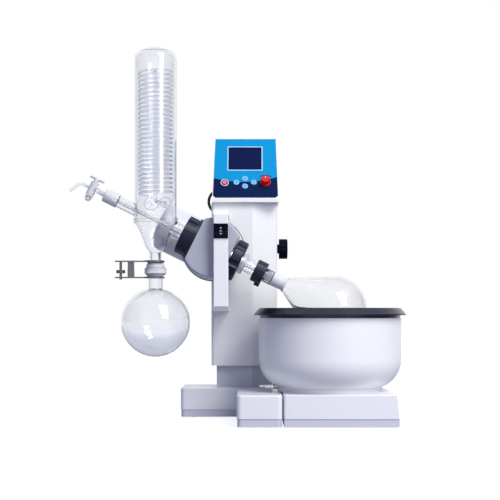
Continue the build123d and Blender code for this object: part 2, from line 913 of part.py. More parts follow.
with BuildPart() as side_lock_knob:
    lock_start_x = column_right_x + seat_gap
    with BuildSketch(Plane.YZ.offset(lock_start_x)):
        with Locations((lock_y, lock_z)):
            Circle(lock_stub_radius)
    extrude(amount=lock_stub_length)
    with BuildSketch(Plane.YZ.offset(lock_start_x + lock_stub_length)):
        with Locations((lock_y, lock_z)):
            Circle(lock_radius)
            scallop_reach = lock_radius + lock_scallop_radius * (1 - 2 * lock_scallop_share)
            with PolarLocations(scallop_reach, lock_lobes):
                Circle(lock_scallop_radius, mode=Mode.SUBTRACT)
    extrude(amount=lock_thickness)
    chamfer(side_lock_knob.faces().sort_by(Axis.X)[-1].outer_wire().edges(), lock_edge)
    with BuildSketch(Plane.YZ.offset(lock_start_x)):
        with Locations((lock_y, lock_z)):
            Circle(lock_stud_radius)
    extrude(amount=seat_gap + pad_gap - mast_inset)
side_lock_knob.part.label = "side_lock_knob"
export_step(side_lock_knob.part, "parts/side_lock_knob.step")

boss_front_y = ring_back_y + seat_gap
with BuildPart() as tilt_bracket:
    plate_left_x = column_left_x + column_corner
    with BuildSketch(Plane.XZ.offset(-column_front_y)):
        with Locations((plate_left_x + tilt_plate_width / 2, pivot_z)):
            Rectangle(tilt_plate_width, tilt_plate_height)
    extrude(amount=tilt_plate_thickness)
    with BuildSketch(Plane.XZ.offset(-column_front_y)):
        with Locations((pivot_x, pivot_z)):
            Circle(tilt_boss_radius)
    extrude(amount=column_front_y - boss_front_y)
    with BuildSketch(Plane.XZ.offset(-boss_front_y)):
        with Locations((pivot_x, pivot_z)):
            Circle(tilt_pin_radius)
    extrude(amount=tilt_pin_length)
tilt_bracket.part.label = "tilt_bracket"
export_step(tilt_bracket.part, "parts/tilt_bracket.step")

# Drive head
with BuildPart() as drive_housing:
    with BuildSketch(Plane.XZ.offset(-drive_y - drum_back)):
        with Locations((pivot_x, pivot_z)):
            Circle(drum_radius)
    extrude(amount=drum_front + drum_back)
    fillet(drive_housing.edges().group_by(Axis.Y)[0], drum_edge)
    split(bisect_by=across_drive(left_seat), keep=Keep.TOP)
    split(bisect_by=across_drive(right_seat), keep=Keep.BOTTOM)
    with BuildSketch(across_drive(left_seat)):
        Circle(spindle_radius + seat_gap)
    extrude(amount=right_seat - left_seat, mode=Mode.SUBTRACT)
    with BuildSketch(across_drive(right_seat)):
        Circle(bearing_outer_radius)
    extrude(amount=-bearing_width, mode=Mode.SUBTRACT)
    with BuildSketch(across_drive(tunnel_right - tunnel_wall)):
        Circle(bearing_outer_radius)
    extrude(amount=bearing_width + tunnel_wall, mode=Mode.SUBTRACT)
    with BuildSketch(across_drive(left_seat)):
        Circle(bearing_outer_radius)
        with Locations((0, -drum_back)):
            Rectangle(2 * pulley_flange_radius, 2 * drum_back)
    extrude(amount=tunnel_right - tunnel_wall - left_seat, mode=Mode.SUBTRACT)
    with BuildSketch(Plane.XZ.offset(-drive_y - drum_back)):
        with Locations((pivot_x, pivot_z)):
            Circle(tilt_pin_radius + running_gap)
    extrude(amount=tilt_pin_length, mode=Mode.SUBTRACT)
drive_housing.part.label = "drive_housing"
export_step(drive_housing.part, "parts/drive_housing.step")


with BuildPart() as rear_cover:
    with BuildSketch(Plane.XZ.offset(-ring_front_y)):
        with Locations((pivot_x, pivot_z)):
            Circle(cover_radius)
            Circle(tilt_pin_radius + running_gap, mode=Mode.SUBTRACT)
    extrude(amount=cover_thickness)
    with BuildSketch(across_drive(tunnel_left + tunnel_wall)):
        with Locations((0, -drum_back - cover_thickness / 2)):
            Rectangle(2 * (tunnel_half_height - tunnel_wall), 2 * cover_thickness)
    extrude(amount=tunnel_right - tunnel_left - 2 * tunnel_wall, mode=Mode.SUBTRACT)
    with BuildSketch(across_drive(right_seat)):
        Circle(flange_radius + slide_gap)
    extrude(amount=cover_radius, mode=Mode.SUBTRACT)
    with BuildSketch(across_drive(left_seat)):
        Circle(flange_radius + slide_gap)
    extrude(amount=-cover_radius, mode=Mode.SUBTRACT)
rear_cover.part.label = "rear_cover"
export_step(rear_cover.part, "parts/rear_cover.step")

with BuildPart() as cover_ring:
    with BuildSketch(Plane.XZ.offset(-ring_back_y)):
        with Locations((pivot_x, pivot_z)):
            Circle(ring_radius)
            Circle(ring_inner_radius, mode=Mode.SUBTRACT)
    extrude(amount=ring_thickness)
cover_ring.part.label = "cover_ring"
export_step(cover_ring.part, "parts/cover_ring.step")

tunnel_back = motor_back_offset + tunnel_half_height
tunnel_front = drum_back + cover_thickness
with BuildPart() as motor_housing:
    with BuildSketch(motor_section) as barrel_section:
        with BuildLine():
            Polyline(
                (motor_shell_left, 0),
                (motor_shell_left, motor_shell_radius),
                (tunnel_left, motor_shell_radius),
                (tunnel_left, 0),
                close=True,
            )
        make_face()
        corner = barrel_section.vertices().group_by(Axis.X)[0].sort_by(Axis.Y)[-1]
        fillet(corner, motor_shell_corner)
    revolve(axis=motor_axis)
    with BuildSketch(motor_section) as hollow_section:
        inner_radius = motor_shell_radius - motor_shell_wall
        with BuildLine():
            Polyline(
                (motor_shell_left + motor_shell_wall, 0),
                (motor_shell_left + motor_shell_wall, inner_radius),
                (tunnel_left - motor_shell_wall, inner_radius),
                (tunnel_left - motor_shell_wall, 0),
                close=True,
            )
        make_face()
        corner = hollow_section.vertices().group_by(Axis.X)[0].sort_by(Axis.Y)[-1]
        fillet(corner, motor_shell_corner - motor_shell_wall)
    revolve(axis=motor_axis, mode=Mode.SUBTRACT)
    with BuildSketch(across_drive(tunnel_left)):
        with Locations((0, -(tunnel_front + tunnel_back) / 2)):
            Rectangle(2 * tunnel_half_height, tunnel_back - tunnel_front)
    extrude(amount=tunnel_right - tunnel_left)
    with BuildSketch(across_drive(tunnel_left + tunnel_wall)):
        with Locations((0, -(tunnel_front + tunnel_back - tunnel_wall) / 2)):
            Rectangle(
                2 * (tunnel_half_height - tunnel_wall), tunnel_back - tunnel_front - tunnel_wall
            )
    extrude(amount=tunnel_right - tunnel_left - 2 * tunnel_wall, mode=Mode.SUBTRACT)
    with BuildSketch(across_motor(tunnel_left - motor_shell_wall - overrun)):
        Circle(motor_shaft_radius + 2 * seat_gap)
    extrude(amount=motor_shell_wall + tunnel_wall + 2 * overrun, mode=Mode.SUBTRACT)
motor_housing.part.label = "motor_housing"
export_step(motor_housing.part, "parts/motor_housing.step")

motor_face = tunnel_left - motor_shell_wall
with BuildPart() as drive_motor:
    with BuildSketch(across_motor(motor_face - motor_length)):
        Circle(motor_radius)
        Circle(motor_shaft_radius + running_gap, mode=Mode.SUBTRACT)
    extrude(amount=motor_length)
    with BuildSketch(across_motor(motor_face)):
        Circle(motor_shell_radius - motor_shell_wall - press_gap)
        Circle(motor_shaft_radius + running_gap, mode=Mode.SUBTRACT)
    extrude(amount=-motor_shell_wall)
drive_motor.part.label = "drive_motor"
export_step(drive_motor.part, "parts/drive_motor.step")

with BuildPart() as motor_pulley:
    with BuildSketch(across_motor(motor_face - motor_length / 2)):
        Circle(motor_shaft_radius)
    extrude(amount=belt_plane - motor_face + motor_length / 2)
    with BuildSketch(across_motor(belt_plane - belt_width / 2 - belt_gap)):
        Circle(motor_pulley_radius)
    extrude(amount=belt_width + 2 * belt_gap)
motor_pulley.part.label = "motor_pulley"
export_step(motor_pulley.part, "parts/motor_pulley.step")


with BuildPart() as drive_belt:
    belt_lean = asin((pulley_radius - motor_pulley_radius) / motor_back_offset)
    for loop_gap, loop_mode in ((belt_gap + belt_thickness, Mode.ADD), (belt_gap, Mode.SUBTRACT)):
        small, large = motor_pulley_radius + loop_gap, pulley_radius + loop_gap
        small_rise, large_rise = small * cos(belt_lean), large * cos(belt_lean)
        small_back = -motor_back_offset - small * sin(belt_lean)
        large_back = -large * sin(belt_lean)
        with BuildSketch(across_drive(belt_plane - belt_width / 2)):
            with BuildLine():
                Line((large_rise, large_back), (small_rise, small_back))
                ThreePointArc(
                    (small_rise, small_back),
                    (0, -motor_back_offset - small),
                    (-small_rise, small_back),
                )
                Line((-small_rise, small_back), (-large_rise, large_back))
                ThreePointArc((-large_rise, large_back), (0, large), (large_rise, large_back))
            make_face()
        extrude(amount=belt_width, mode=loop_mode)
drive_belt.part.label = "drive_belt"
export_step(drive_belt.part, "parts/drive_belt.step")

with BuildPart() as spindle_bearings:
    for bearing_at in (tunnel_right, right_seat - bearing_width):
        with BuildSketch(across_drive(bearing_at)):
            Circle(bearing_outer_radius - press_gap)
            Circle(spindle_radius + running_gap, mode=Mode.SUBTRACT)
        extrude(amount=bearing_width)
spindle_bearings.part.label = "spindle_bearings"
export_step(spindle_bearings.part, "parts/spindle_bearings.step")

flange_left = left_seat - flange_thickness
nose_left = flange_left - nose_length
with BuildPart() as seal_flange:
    with BuildSketch(drive_section):
        with BuildLine():
            Polyline(
                (nose_left, nose_bore),
                (nose_left, nose_radius),
                (flange_left, nose_radius),
                (flange_left, flange_radius),
                (left_seat, flange_radius),
                (left_seat, duct_radius + seat_gap),
                (nose_left + nose_bore_depth, duct_radius + seat_gap),
                (nose_left + nose_bore_depth, nose_bore),
                close=True,
            )
        make_face()
    revolve(axis=drive_axis)
seal_flange.part.label = "seal_flange"
export_step(seal_flange.part, "parts/seal_flange.step")

seal_right = nose_left + nose_bore_depth
with BuildPart() as duct_seal:
    with BuildSketch(drive_section):
        with BuildLine():
            Polyline(
                (seal_right - seal_width, duct_radius + running_gap),
                (seal_right - seal_width, nose_bore - press_gap),
                (seal_right, nose_bore - press_gap),
                (seal_right, duct_radius + running_gap),
                close=True,
            )
        make_face()
    revolve(axis=drive_axis)
duct_seal.part.label = "duct_seal"
export_step(duct_seal.part, "parts/duct_seal.step")

nut_right = flange_left - seat_gap
nut_left = nut_right - nut_length
with BuildPart() as condenser_nut:
    with BuildSketch(across_drive(nut_left)):
        Circle(nut_radius - nut_rib_height)
        with PolarLocations(nut_radius - nut_rib_height, nut_ribs):
            Rectangle(2 * nut_rib_height, 2 * nut_rib_width)
    extrude(amount=nut_length)
    chamfer(condenser_nut.faces().sort_by(Axis.X)[0].outer_wire().edges(), nut_edge / 2)
    with BuildSketch(across_drive(nut_left)):
        Circle(nut_hole_radius)
    extrude(amount=nut_length, mode=Mode.SUBTRACT)
    with BuildSketch(across_drive(nut_left + nut_wall)):
        Circle(nose_radius + nut_thread_gap)
    extrude(amount=nut_length, mode=Mode.SUBTRACT)
condenser_nut.part.label = "condenser_nut"
export_step(condenser_nut.part, "parts/condenser_nut.step")

# Spindle and what turns with it
with BuildPart() as spindle:
    pulley_left = belt_plane - belt_width / 2 - belt_gap - pulley_flange
    pulley_right = belt_plane + belt_width / 2 + belt_gap
    with BuildSketch(drive_section):
        with BuildLine():
            Polyline(
                (spindle_left, spindle_bore),
                (spindle_left, spindle_radius),
                (pulley_left, spindle_radius),
                (pulley_left, pulley_flange_radius),
                (pulley_left + pulley_flange, pulley_flange_radius),
                (pulley_left + pulley_flange, pulley_radius),
                (pulley_right, pulley_radius),
                (pulley_right, pulley_flange_radius),
                (pulley_right + pulley_flange, pulley_flange_radius),
                (pulley_right + pulley_flange, spindle_radius),
                (spindle_right, spindle_radius),
                (spindle_right, spindle_bore),
                close=True,
            )
        make_face()
    revolve(axis=drive_axis)
spindle.part.label = "spindle"
export_step(spindle.part, "parts/spindle.step")


def lobed_disc(radius, scallops, scallop_radius, share):
    """A round outline with scallops cut into its edge, which leaves the lobes of a grip."""
    Circle(radius)
    with PolarLocations(radius + scallop_radius * (1 - 2 * share), scallops):
        Circle(scallop_radius, mode=Mode.SUBTRACT)


with BuildPart() as ejector_nut:
    with BuildSketch(across_drive(ejector_start)):
        lobed_disc(ejector_radius, ejector_scallops, ejector_scallop_radius, ejector_scallop_share)
    extrude(amount=ejector_length)
    end_faces = ejector_nut.faces().sort_by(drive_axis)
    for end_face in (end_faces[0], end_faces[-1]):
        chamfer(end_face.outer_wire().edges(), ejector_edge)
    with BuildSketch(across_drive(ejector_start)):
        Circle(spindle_radius + running_gap)
    extrude(amount=ejector_length, mode=Mode.SUBTRACT)
ejector_nut.part.label = "ejector_nut"
export_step(ejector_nut.part, "parts/ejector_nut.step")

with BuildPart() as drive_collar:
    with BuildSketch(across_drive(spindle_right)):
        Circle(collar_radius)
    extrude(amount=collar_length)
    fillet(drive_collar.edges().filter_by(GeomType.CIRCLE).sort_by(drive_axis)[-1], collar_edge)
    with BuildSketch(across_drive(spindle_right)):
        Circle(duct_radius + press_gap)
    extrude(amount=collar_length, mode=Mode.SUBTRACT)
drive_collar.part.label = "drive_collar"
export_step(drive_collar.part, "parts/drive_collar.step")

with BuildPart() as vapour_duct:
    joint_bore = duct_bore - (joint_start_radius - joint_end_radius)
    with BuildSketch(drive_section):
        with BuildLine():
            Polyline(
                (duct_left, duct_bore),
                (duct_left, duct_radius),
                (duct_bead_at, duct_radius),
                (duct_bead_at, duct_bead_radius),
                (duct_bead_at + duct_bead_length, duct_bead_radius),
                (duct_bead_at + duct_bead_length, duct_radius),
                (joint_start - flask_wall, duct_radius),
                (joint_start, joint_start_radius),
                (joint_end, joint_end_radius),
                (joint_end, joint_bore),
                (joint_start, duct_bore),
                close=True,
            )
        make_face()
    revolve(axis=drive_axis)
vapour_duct.part.label = "vapour_duct"
export_step(vapour_duct.part, "parts/vapour_duct.step")

# The bail is a wire loop that swings in two eyes on the nut's front
eye_at = clip_end + bail_eye_radius
bail_plane = Plane(
    origin=drive_section.from_local_coords((eye_at, 0, bail_front)),
    x_dir=drive_section.x_dir,
    z_dir=drive_section.z_dir,
)
across_bail = Plane(origin=bail_plane.origin, x_dir=(0, -1, 0), z_dir=(sin(tilt), 0, cos(tilt)))
with BuildPart() as clip_nut:
    clip_length = clip_end - clip_start
    with BuildSketch(across_drive(clip_start)):
        Circle(clip_radius)
        with PolarLocations(clip_radius, clip_ribs):
            Circle(clip_rib_radius, mode=Mode.SUBTRACT)
    extrude(amount=clip_length)
    chamfer(clip_nut.faces().sort_by(drive_axis)[0].outer_wire().edges(), clip_edge)
    with BuildSketch(across_drive(clip_end)):
        with Locations((-clip_radius, 0)):
            Circle(clip_bump_radius)
    extrude(amount=-clip_length / 2)
    for eye_side in (1, -1):
        with BuildSketch(across_bail.offset(eye_side * bail_eye_inner)):
            Circle(bail_eye_radius)
            with Locations((0, -bail_eye_radius)):
                Rectangle(2 * bail_eye_radius, 2 * bail_eye_radius)
        extrude(amount=eye_side * bail_eye_width)
    with BuildSketch(across_bail):
        Circle(bail_wire_radius + running_gap)
    extrude(amount=bail_half_span, both=True, mode=Mode.SUBTRACT)
    with BuildSketch(across_drive(clip_start)):
        Circle(duct_radius + running_gap)
    extrude(amount=clip_length, mode=Mode.SUBTRACT)
    with BuildSketch(across_drive(clip_start + clip_wall)):
        Circle(clip_inner_radius)
    extrude(amount=clip_length, mode=Mode.SUBTRACT)
clip_nut.part.label = "clip_nut"
export_step(clip_nut.part, "parts/clip_nut.step")

with BuildPart() as flask_bail:
    with BuildLine() as bail_route:
        FilletPolyline(
            bail_plane.from_local_coords((0, bail_eye_inner, 0)),
            bail_plane.from_local_coords((0, bail_half_span, 0)),
            bail_plane.from_local_coords((bail_length, bail_half_span, 0)),
            bail_plane.from_local_coords((bail_length, -bail_half_span, 0)),
            bail_plane.from_local_coords((0, -bail_half_span, 0)),
            bail_plane.from_local_coords((0, -bail_eye_inner, 0)),
            radius=bail_bend_radius,
        )
    with BuildSketch(Plane(origin=bail_route.line @ 0, z_dir=bail_route.line % 0)):
        Circle(bail_wire_radius)
    sweep(path=bail_route.line)
flask_bail.part.label = "flask_bail"
export_step(flask_bail.part, "parts/flask_bail.step")


def flask_touch(throat, radius):
    """Where the flask's cone meets its sphere smoothly: a point along the axis and its radius."""
    reach = flask_centre - flask_neck_end
    lean = asin(radius / hypot(reach, throat)) - atan2(throat, reach)
    return flask_centre - radius * sin(lean), radius * cos(lean)


with BuildPart() as evaporating_flask:
    rim_end = flask_rim_start + flask_rim_length
    inner_radius = flask_radius - flask_wall
    throat_bore = joint_end_radius
    socket_wide = joint_start_radius + cone_gap
    with BuildSketch(drive_section) as flask_section:
        with BuildLine():
            outer = Polyline(
                (flask_rim_start, duct_radius + cone_gap),
                (flask_rim_start, flask_rim_radius),
                (rim_end, flask_rim_radius),
                (rim_end, flask_neck_radius),
                (flask_neck_end, flask_throat_radius),
                flask_touch(flask_throat_radius, flask_radius),
            )
            ThreePointArc(
                outer @ 1, (flask_centre, flask_radius), (flask_centre + flask_radius, 0)
            )
            Line((flask_centre + flask_radius, 0), (flask_centre + inner_radius, 0))
            ThreePointArc(
                (flask_centre + inner_radius, 0),
                (flask_centre, inner_radius),
                flask_touch(throat_bore, inner_radius),
            )
            Polyline(
                flask_touch(throat_bore, inner_radius),
                (flask_neck_end, throat_bore),
                (joint_end, joint_end_radius + cone_gap),
                (joint_start, socket_wide),
                (joint_start - flask_wall, duct_radius + cone_gap),
                outer @ 0,
            )
        make_face()
    revolve(axis=drive_axis)
evaporating_flask.part.label = "evaporating_flask"
export_step(evaporating_flask.part, "parts/evaporating_flask.step")


# Condenser and distribution head: one hollow glass shape, parted at the seam
def glass_body(wall):
    """The glassware's outer shape, or with a wall its inside: tube, funnel, branch and feed arm."""
    tube = jacket_radius - wall
    crown = jacket_crown_radius - wall
    crown_centre_z = jacket_top_z - jacket_crown_radius
    shoulder_z = crown_centre_z + sqrt(crown**2 - tube**2)
    with BuildPart() as body:
        with BuildSketch(glass_section) as profile:
            with BuildLine():
                Polyline((0, outlet_top_z), (0, crown_centre_z + crown))
                RadiusArc((0, crown_centre_z + crown), (tube, shoulder_z), crown)
                Polyline((tube, shoulder_z), (tube, seam_z - seam_height))
                ThreePointArc(
                    (tube, seam_z - seam_height),
                    (funnel_mid_radius - wall, funnel_mid_z),
                    (funnel_low_radius - wall, funnel_low_z),
                )
                Polyline(
                    (funnel_low_radius - wall, funnel_low_z),
                    (outlet_radius - wall, outlet_top_z),
                    (0, outlet_top_z),
                )
            make_face()
            shoulder = profile.vertices().group_by(Axis.X)[-1].sort_by(Axis.Y)[-1]
            fillet(shoulder, jacket_shoulder_radius - wall)
        revolve(axis=glass_axis)
        with BuildSketch(across_drive(branch_left + wall)):
            Circle(branch_radius - wall)
        extrude(amount=branch_right - branch_left)
        with BuildSketch(across_drive(socket_left)):
            Circle(arm_radius - wall)
        extrude(amount=arm_right - socket_left - wall)
    return body.part


def hose_port(across, height):
    """A hose port that points backwards: a stub that starts inside the wall, and its barb."""
    wall_y = drive_y + sqrt(jacket_radius**2 - (across - glass_x) ** 2)
    start_y = drive_y + coil_radius + coil_tube_radius + seat_gap
    end_y = wall_y + port_length
    with BuildPart() as stub:
        with BuildSketch(Plane.XZ.offset(-start_y)):
            with Locations((across, height)):
                Circle(port_radius)
        extrude(amount=start_y - end_y)
        with BuildSketch(Plane.XZ.offset(-end_y + port_barb_length)):
            with Locations((across, height)):
                Circle(port_barb_radius)
        extrude(amount=-port_barb_length)
    return stub.part


def port_way(across, height, socket):
    """The bore of a hose port, with a wider socket at its root that takes the coil's end."""
    wall_y = drive_y + sqrt(jacket_radius**2 - (across - glass_x) ** 2)
    start_y = drive_y + coil_radius - coil_tube_radius
    with BuildPart() as way:
        with BuildSketch(Plane.XZ.offset(-start_y)):
            with Locations((across, height)):
                Circle(port_bore)
        extrude(amount=start_y - wall_y - port_length)
        if socket:
            with BuildSketch(Plane.XZ.offset(-start_y)):
                with Locations((across, height)):
                    Circle(coil_tube_radius + press_gap)
            extrude(amount=start_y - wall_y - port_barb_length)
    return way.part


glass_block = glass_body(0)
glass_hollow = glass_body(glass_wall)
inlet_x, outlet_x = glass_x - water_port_spread, glass_x + water_port_spread
port_stubs = [
    hose_port(inlet_x, water_port_z),
    hose_port(outlet_x, water_port_z),
    hose_port(glass_x, vacuum_port_z),
]
port_ways = [
    port_way(inlet_x, water_port_z, True),
    port_way(outlet_x, water_port_z, True),
    port_way(glass_x, vacuum_port_z, False),
]
with BuildPart() as condenser:
    add(glass_block)
    with BuildSketch(across_drive(socket_left)):
        Circle(socket_radius)
    extrude(amount=arm_left - socket_left)
    add(port_stubs)
    add(glass_hollow, mode=Mode.SUBTRACT)
    with BuildSketch(drive_section):
        with BuildLine():
            Polyline(
                (socket_left, 0),
                (socket_left, cone_wide_radius + cone_gap),
                (arm_left, cone_narrow_radius + cone_gap),
                (arm_left, 0),
                close=True,
            )
        make_face()
    revolve(axis=drive_axis, mode=Mode.SUBTRACT)
    add(port_ways, mode=Mode.SUBTRACT)
    split(bisect_by=Plane.XY.offset(seam_z), keep=Keep.TOP)
    with BuildSketch(Plane.XY.offset(seam_z)):
        with Locations((glass_x, drive_y)):
            Circle(seam_radius)
            Circle(jacket_radius - glass_wall, mode=Mode.SUBTRACT)
    extrude(amount=seam_height)
condenser.part.label = "condenser"
export_step(condenser.part, "parts/condenser.step")

with BuildPart() as distribution_head:
    add(glass_block)
    with BuildSketch(Plane.XY.offset(ball_z)):
        with Locations((glass_x, drive_y)):
            Circle(outlet_radius)
    extrude(amount=outlet_top_z - ball_z)
    with BuildSketch(across_drive(branch_bead_at)):
        Circle(branch_bead_radius)
    extrude(amount=branch_bead_length)
    with BuildSketch(glass_section):
        with BuildLine():
            cut_radius = sqrt(ball_radius**2 - ball_cut**2)
            ThreePointArc((0, ball_z + ball_radius), (ball_radius, ball_z), (cut_radius, ball_z - ball_cut))
            Polyline(
                (cut_radius, ball_z - ball_cut), (0, ball_z - ball_cut), (0, ball_z + ball_radius)
            )
        make_face()
    revolve(axis=glass_axis)
    add(glass_hollow, mode=Mode.SUBTRACT)
    with BuildSketch(Plane.XY.offset(ball_z - ball_cut)):
        with Locations((glass_x, drive_y)):
            Circle(ball_bore)
    extrude(amount=outlet_top_z - ball_z + ball_cut, mode=Mode.SUBTRACT)
    split(bisect_by=Plane.XY.offset(seam_z), keep=Keep.BOTTOM)
    with BuildSketch(Plane.XY.offset(seam_z)):
        with Locations((glass_x, drive_y)):
            Circle(seam_radius)
            Circle(jacket_radius - glass_wall, mode=Mode.SUBTRACT)
    extrude(amount=-seam_height)
distribution_head.part.label = "distribution_head"
export_step(distribution_head.part, "parts/distribution_head.step")

# The coolant climbs the coil, crosses to the middle and comes back down a straight tube
coil_reach = sqrt(coil_radius**2 - water_port_spread**2)
coil_end_y = drive_y + sqrt(jacket_radius**2 - water_port_spread**2) + port_barb_length / 2
coil_top_z = coil_bottom_z + coil_pitch * coil_turns
coil_frame = Plane(
    origin=(glass_x, drive_y, coil_bottom_z), x_dir=(-water_port_spread, coil_reach, 0), z_dir=(0, 0, 1)
)
with BuildPart() as cooling_coil:
    turns = Helix(coil_pitch, coil_pitch * coil_turns, coil_radius, mode=Mode.PRIVATE)
    with BuildLine() as coil_route:
        add(coil_frame * turns)
    with BuildSketch(Plane(origin=coil_route.line @ 0, z_dir=coil_route.line % 0)):
        Circle(coil_tube_radius)
    sweep(path=coil_route.line, is_frenet=True)
    with BuildLine() as inlet_route:
        FilletPolyline(
            (inlet_x, drive_y + coil_reach, coil_bottom_z),
            (inlet_x, drive_y + coil_reach, water_port_z),
            (inlet_x, coil_end_y, water_port_z),
            radius=coil_bend,
        )
    with BuildSketch(Plane(origin=inlet_route.line @ 0, z_dir=inlet_route.line % 0)):
        Circle(coil_tube_radius)
    sweep(path=inlet_route.line)
    with BuildLine() as return_route:
        FilletPolyline(
            (inlet_x, drive_y + coil_reach, coil_top_z),
            (glass_x, drive_y, coil_top_z),
            (glass_x, drive_y, water_port_z),
            (outlet_x, drive_y + coil_reach, water_port_z),
            (outlet_x, coil_end_y, water_port_z),
            radius=coil_bend,
        )
    with BuildSketch(Plane(origin=return_route.line @ 0, z_dir=return_route.line % 0)):
        Circle(coil_tube_radius)
    sweep(path=return_route.line)
    with Locations(inlet_route.line @ 0, return_route.line @ 0):
        Sphere(coil_tube_radius)
cooling_coil.part.label = "cooling_coil"
export_step(cooling_coil.part, "parts/cooling_coil.step")

# Feed stopcock, plug and tube
cone_right = arm_left
with BuildPart() as feed_stopcock:
    with BuildSketch(drive_section):
        with BuildLine():
            Polyline(
                (stopcock_at, 0),
                (stopcock_at, stem_glass_radius),
                (socket_left - seat_gap, stem_glass_radius),
                (socket_left - seat_gap, cone_wide_radius),
                (cone_right, cone_narrow_radius),
                (cone_right, 0),
                close=True,
            )
        make_face()
    revolve(axis=drive_axis)
    barrel_base = drive_section.from_local_coords((stopcock_at, barrel_low, 0))
    barrel_plane = Plane(origin=barrel_base, x_dir=drive_section.x_dir, z_dir=(sin(tilt), 0, cos(tilt)))
    with BuildSketch(barrel_plane):
        Circle(barrel_radius)
    extrude(amount=barrel_high - barrel_low)
    nozzle_start = drive_section.from_local_coords((stopcock_at, 0, 0))
    with BuildLine() as nozzle_route:
        FilletPolyline(
            nozzle_start,
            (nozzle_corner_x, drive_y, nozzle_corner_z),
            (nozzle_tip_x, drive_y, nozzle_tip_z),
            radius=nozzle_bend,
        )
    nozzle_plane = Plane(origin=nozzle_route.line @ 0, z_dir=nozzle_route.line % 0)
    with BuildSketch(nozzle_plane):
        Circle(nozzle_radius)
    sweep(path=nozzle_route.line)
    with BuildSketch(nozzle_plane):
        Circle(nozzle_bore)
    sweep(path=nozzle_route.line, mode=Mode.SUBTRACT)
    with BuildSketch(across_drive(stopcock_at)):
        Circle(feed_bore)
    extrude(amount=cone_right - stopcock_at, mode=Mode.SUBTRACT)
    with BuildSketch(across_drive(feed_left)):
        Circle(feed_radius + press_gap)
    extrude(amount=cone_right - feed_left, mode=Mode.SUBTRACT)
    with BuildSketch(drive_section):
        with BuildLine():
            Polyline(
                (stopcock_at, barrel_low),
                (stopcock_at + plug_tip_radius + running_gap, barrel_low),
                (stopcock_at + plug_radius + running_gap, barrel_high),
                (stopcock_at, barrel_high),
                close=True,
            )
        make_face()
    revolve(axis=Axis(origin=barrel_base, direction=barrel_plane.z_dir), mode=Mode.SUBTRACT)
feed_stopcock.part.label = "feed_stopcock"
export_step(feed_stopcock.part, "parts/feed_stopcock.step")

with BuildPart() as stopcock_plug:
    with BuildSketch(drive_section):
        with BuildLine():
            Polyline(
                (stopcock_at, plug_tip),
                (stopcock_at + plug_tip_radius, plug_tip),
                (stopcock_at + plug_tip_radius, barrel_low),
                (stopcock_at + plug_radius, barrel_high),
                (stopcock_at + plug_radius, plug_top),
                (stopcock_at, plug_top),
                close=True,
            )
        make_face()
    revolve(axis=Axis(origin=barrel_base, direction=barrel_plane.z_dir))
    handle_centre = drive_section.from_local_coords((stopcock_at, plug_top, 0))
    handle_plane = Plane(origin=handle_centre, x_dir=(0, 1, 0), z_dir=drive_section.x_dir)
    with BuildSketch(handle_plane.offset(-handle_length / 2)):
        Circle(handle_radius)
    extrude(amount=handle_length)
    with BuildSketch(across_drive(stopcock_at - plug_radius - overrun)):
        Circle(plug_bore)
    extrude(amount=2 * (plug_radius + overrun), mode=Mode.SUBTRACT)
stopcock_plug.part.label = "stopcock_plug"
export_step(stopcock_plug.part, "parts/stopcock_plug.step")

with BuildPart() as feed_tube:
    with BuildSketch(across_drive(feed_left)):
        Circle(feed_radius)
        Circle(feed_bore, mode=Mode.SUBTRACT)
    extrude(amount=feed_right - feed_left)
feed_tube.part.label = "feed_tube"
export_step(feed_tube.part, "parts/feed_tube.step")

with BuildPart() as receiving_flask:
    neck_z = receiver_z + sqrt(receiver_radius**2 - receiver_neck_radius**2)
    inner = receiver_radius - receiver_wall
    bore = receiver_neck_radius - receiver_wall
    bore_z = receiver_z + sqrt(inner**2 - bore**2)
    seat = ball_radius + cup_gap
    seat_low_z = ball_z - sqrt(seat**2 - bore**2)
    seat_top_radius = sqrt(seat**2 - (cup_top_z - ball_z) ** 2)
    with BuildSketch(glass_section):
        with BuildLine():
            ThreePointArc(
                (0, receiver_z - receiver_radius),
                (receiver_radius, receiver_z),
                (receiver_neck_radius, neck_z),
            )
            Polyline(
                (receiver_neck_radius, neck_z),
                (receiver_neck_radius, cup_base_z),
                (cup_radius, cup_low_z),
                (cup_radius, cup_top_z),
                (seat_top_radius, cup_top_z),
            )
            RadiusArc((seat_top_radius, cup_top_z), (bore, seat_low_z), seat)
            Line((bore, seat_low_z), (bore, bore_z))
            ThreePointArc((bore, bore_z), (inner, receiver_z), (0, receiver_z - inner))
            Line((0, receiver_z - inner), (0, receiver_z - receiver_radius))
        make_face()
    revolve(axis=glass_axis)
receiving_flask.part.label = "receiving_flask"
export_step(receiving_flask.part, "parts/receiving_flask.step")


def jaw_plate(height):
    """A forked plate with its slot round the glass and its arm out to the screw."""
    with BuildPart() as plate:
        with BuildSketch(Plane.XY.offset(height)):
            with Locations((glass_x, drive_y)):
                Circle(jaw_outer_radius)
            with Locations(((jaw_end_x + glass_x) / 2, drive_y)):
                Rectangle(glass_x - jaw_end_x, jaw_arm_width)
            with Locations((glass_x, drive_y)):
                Circle(jaw_slot_radius, mode=Mode.SUBTRACT)
            with Locations((glass_x + jaw_outer_radius, drive_y)):
                Rectangle(2 * jaw_outer_radius, 2 * jaw_slot_radius, mode=Mode.SUBTRACT)
        extrude(amount=jaw_thickness)
    return plate.part


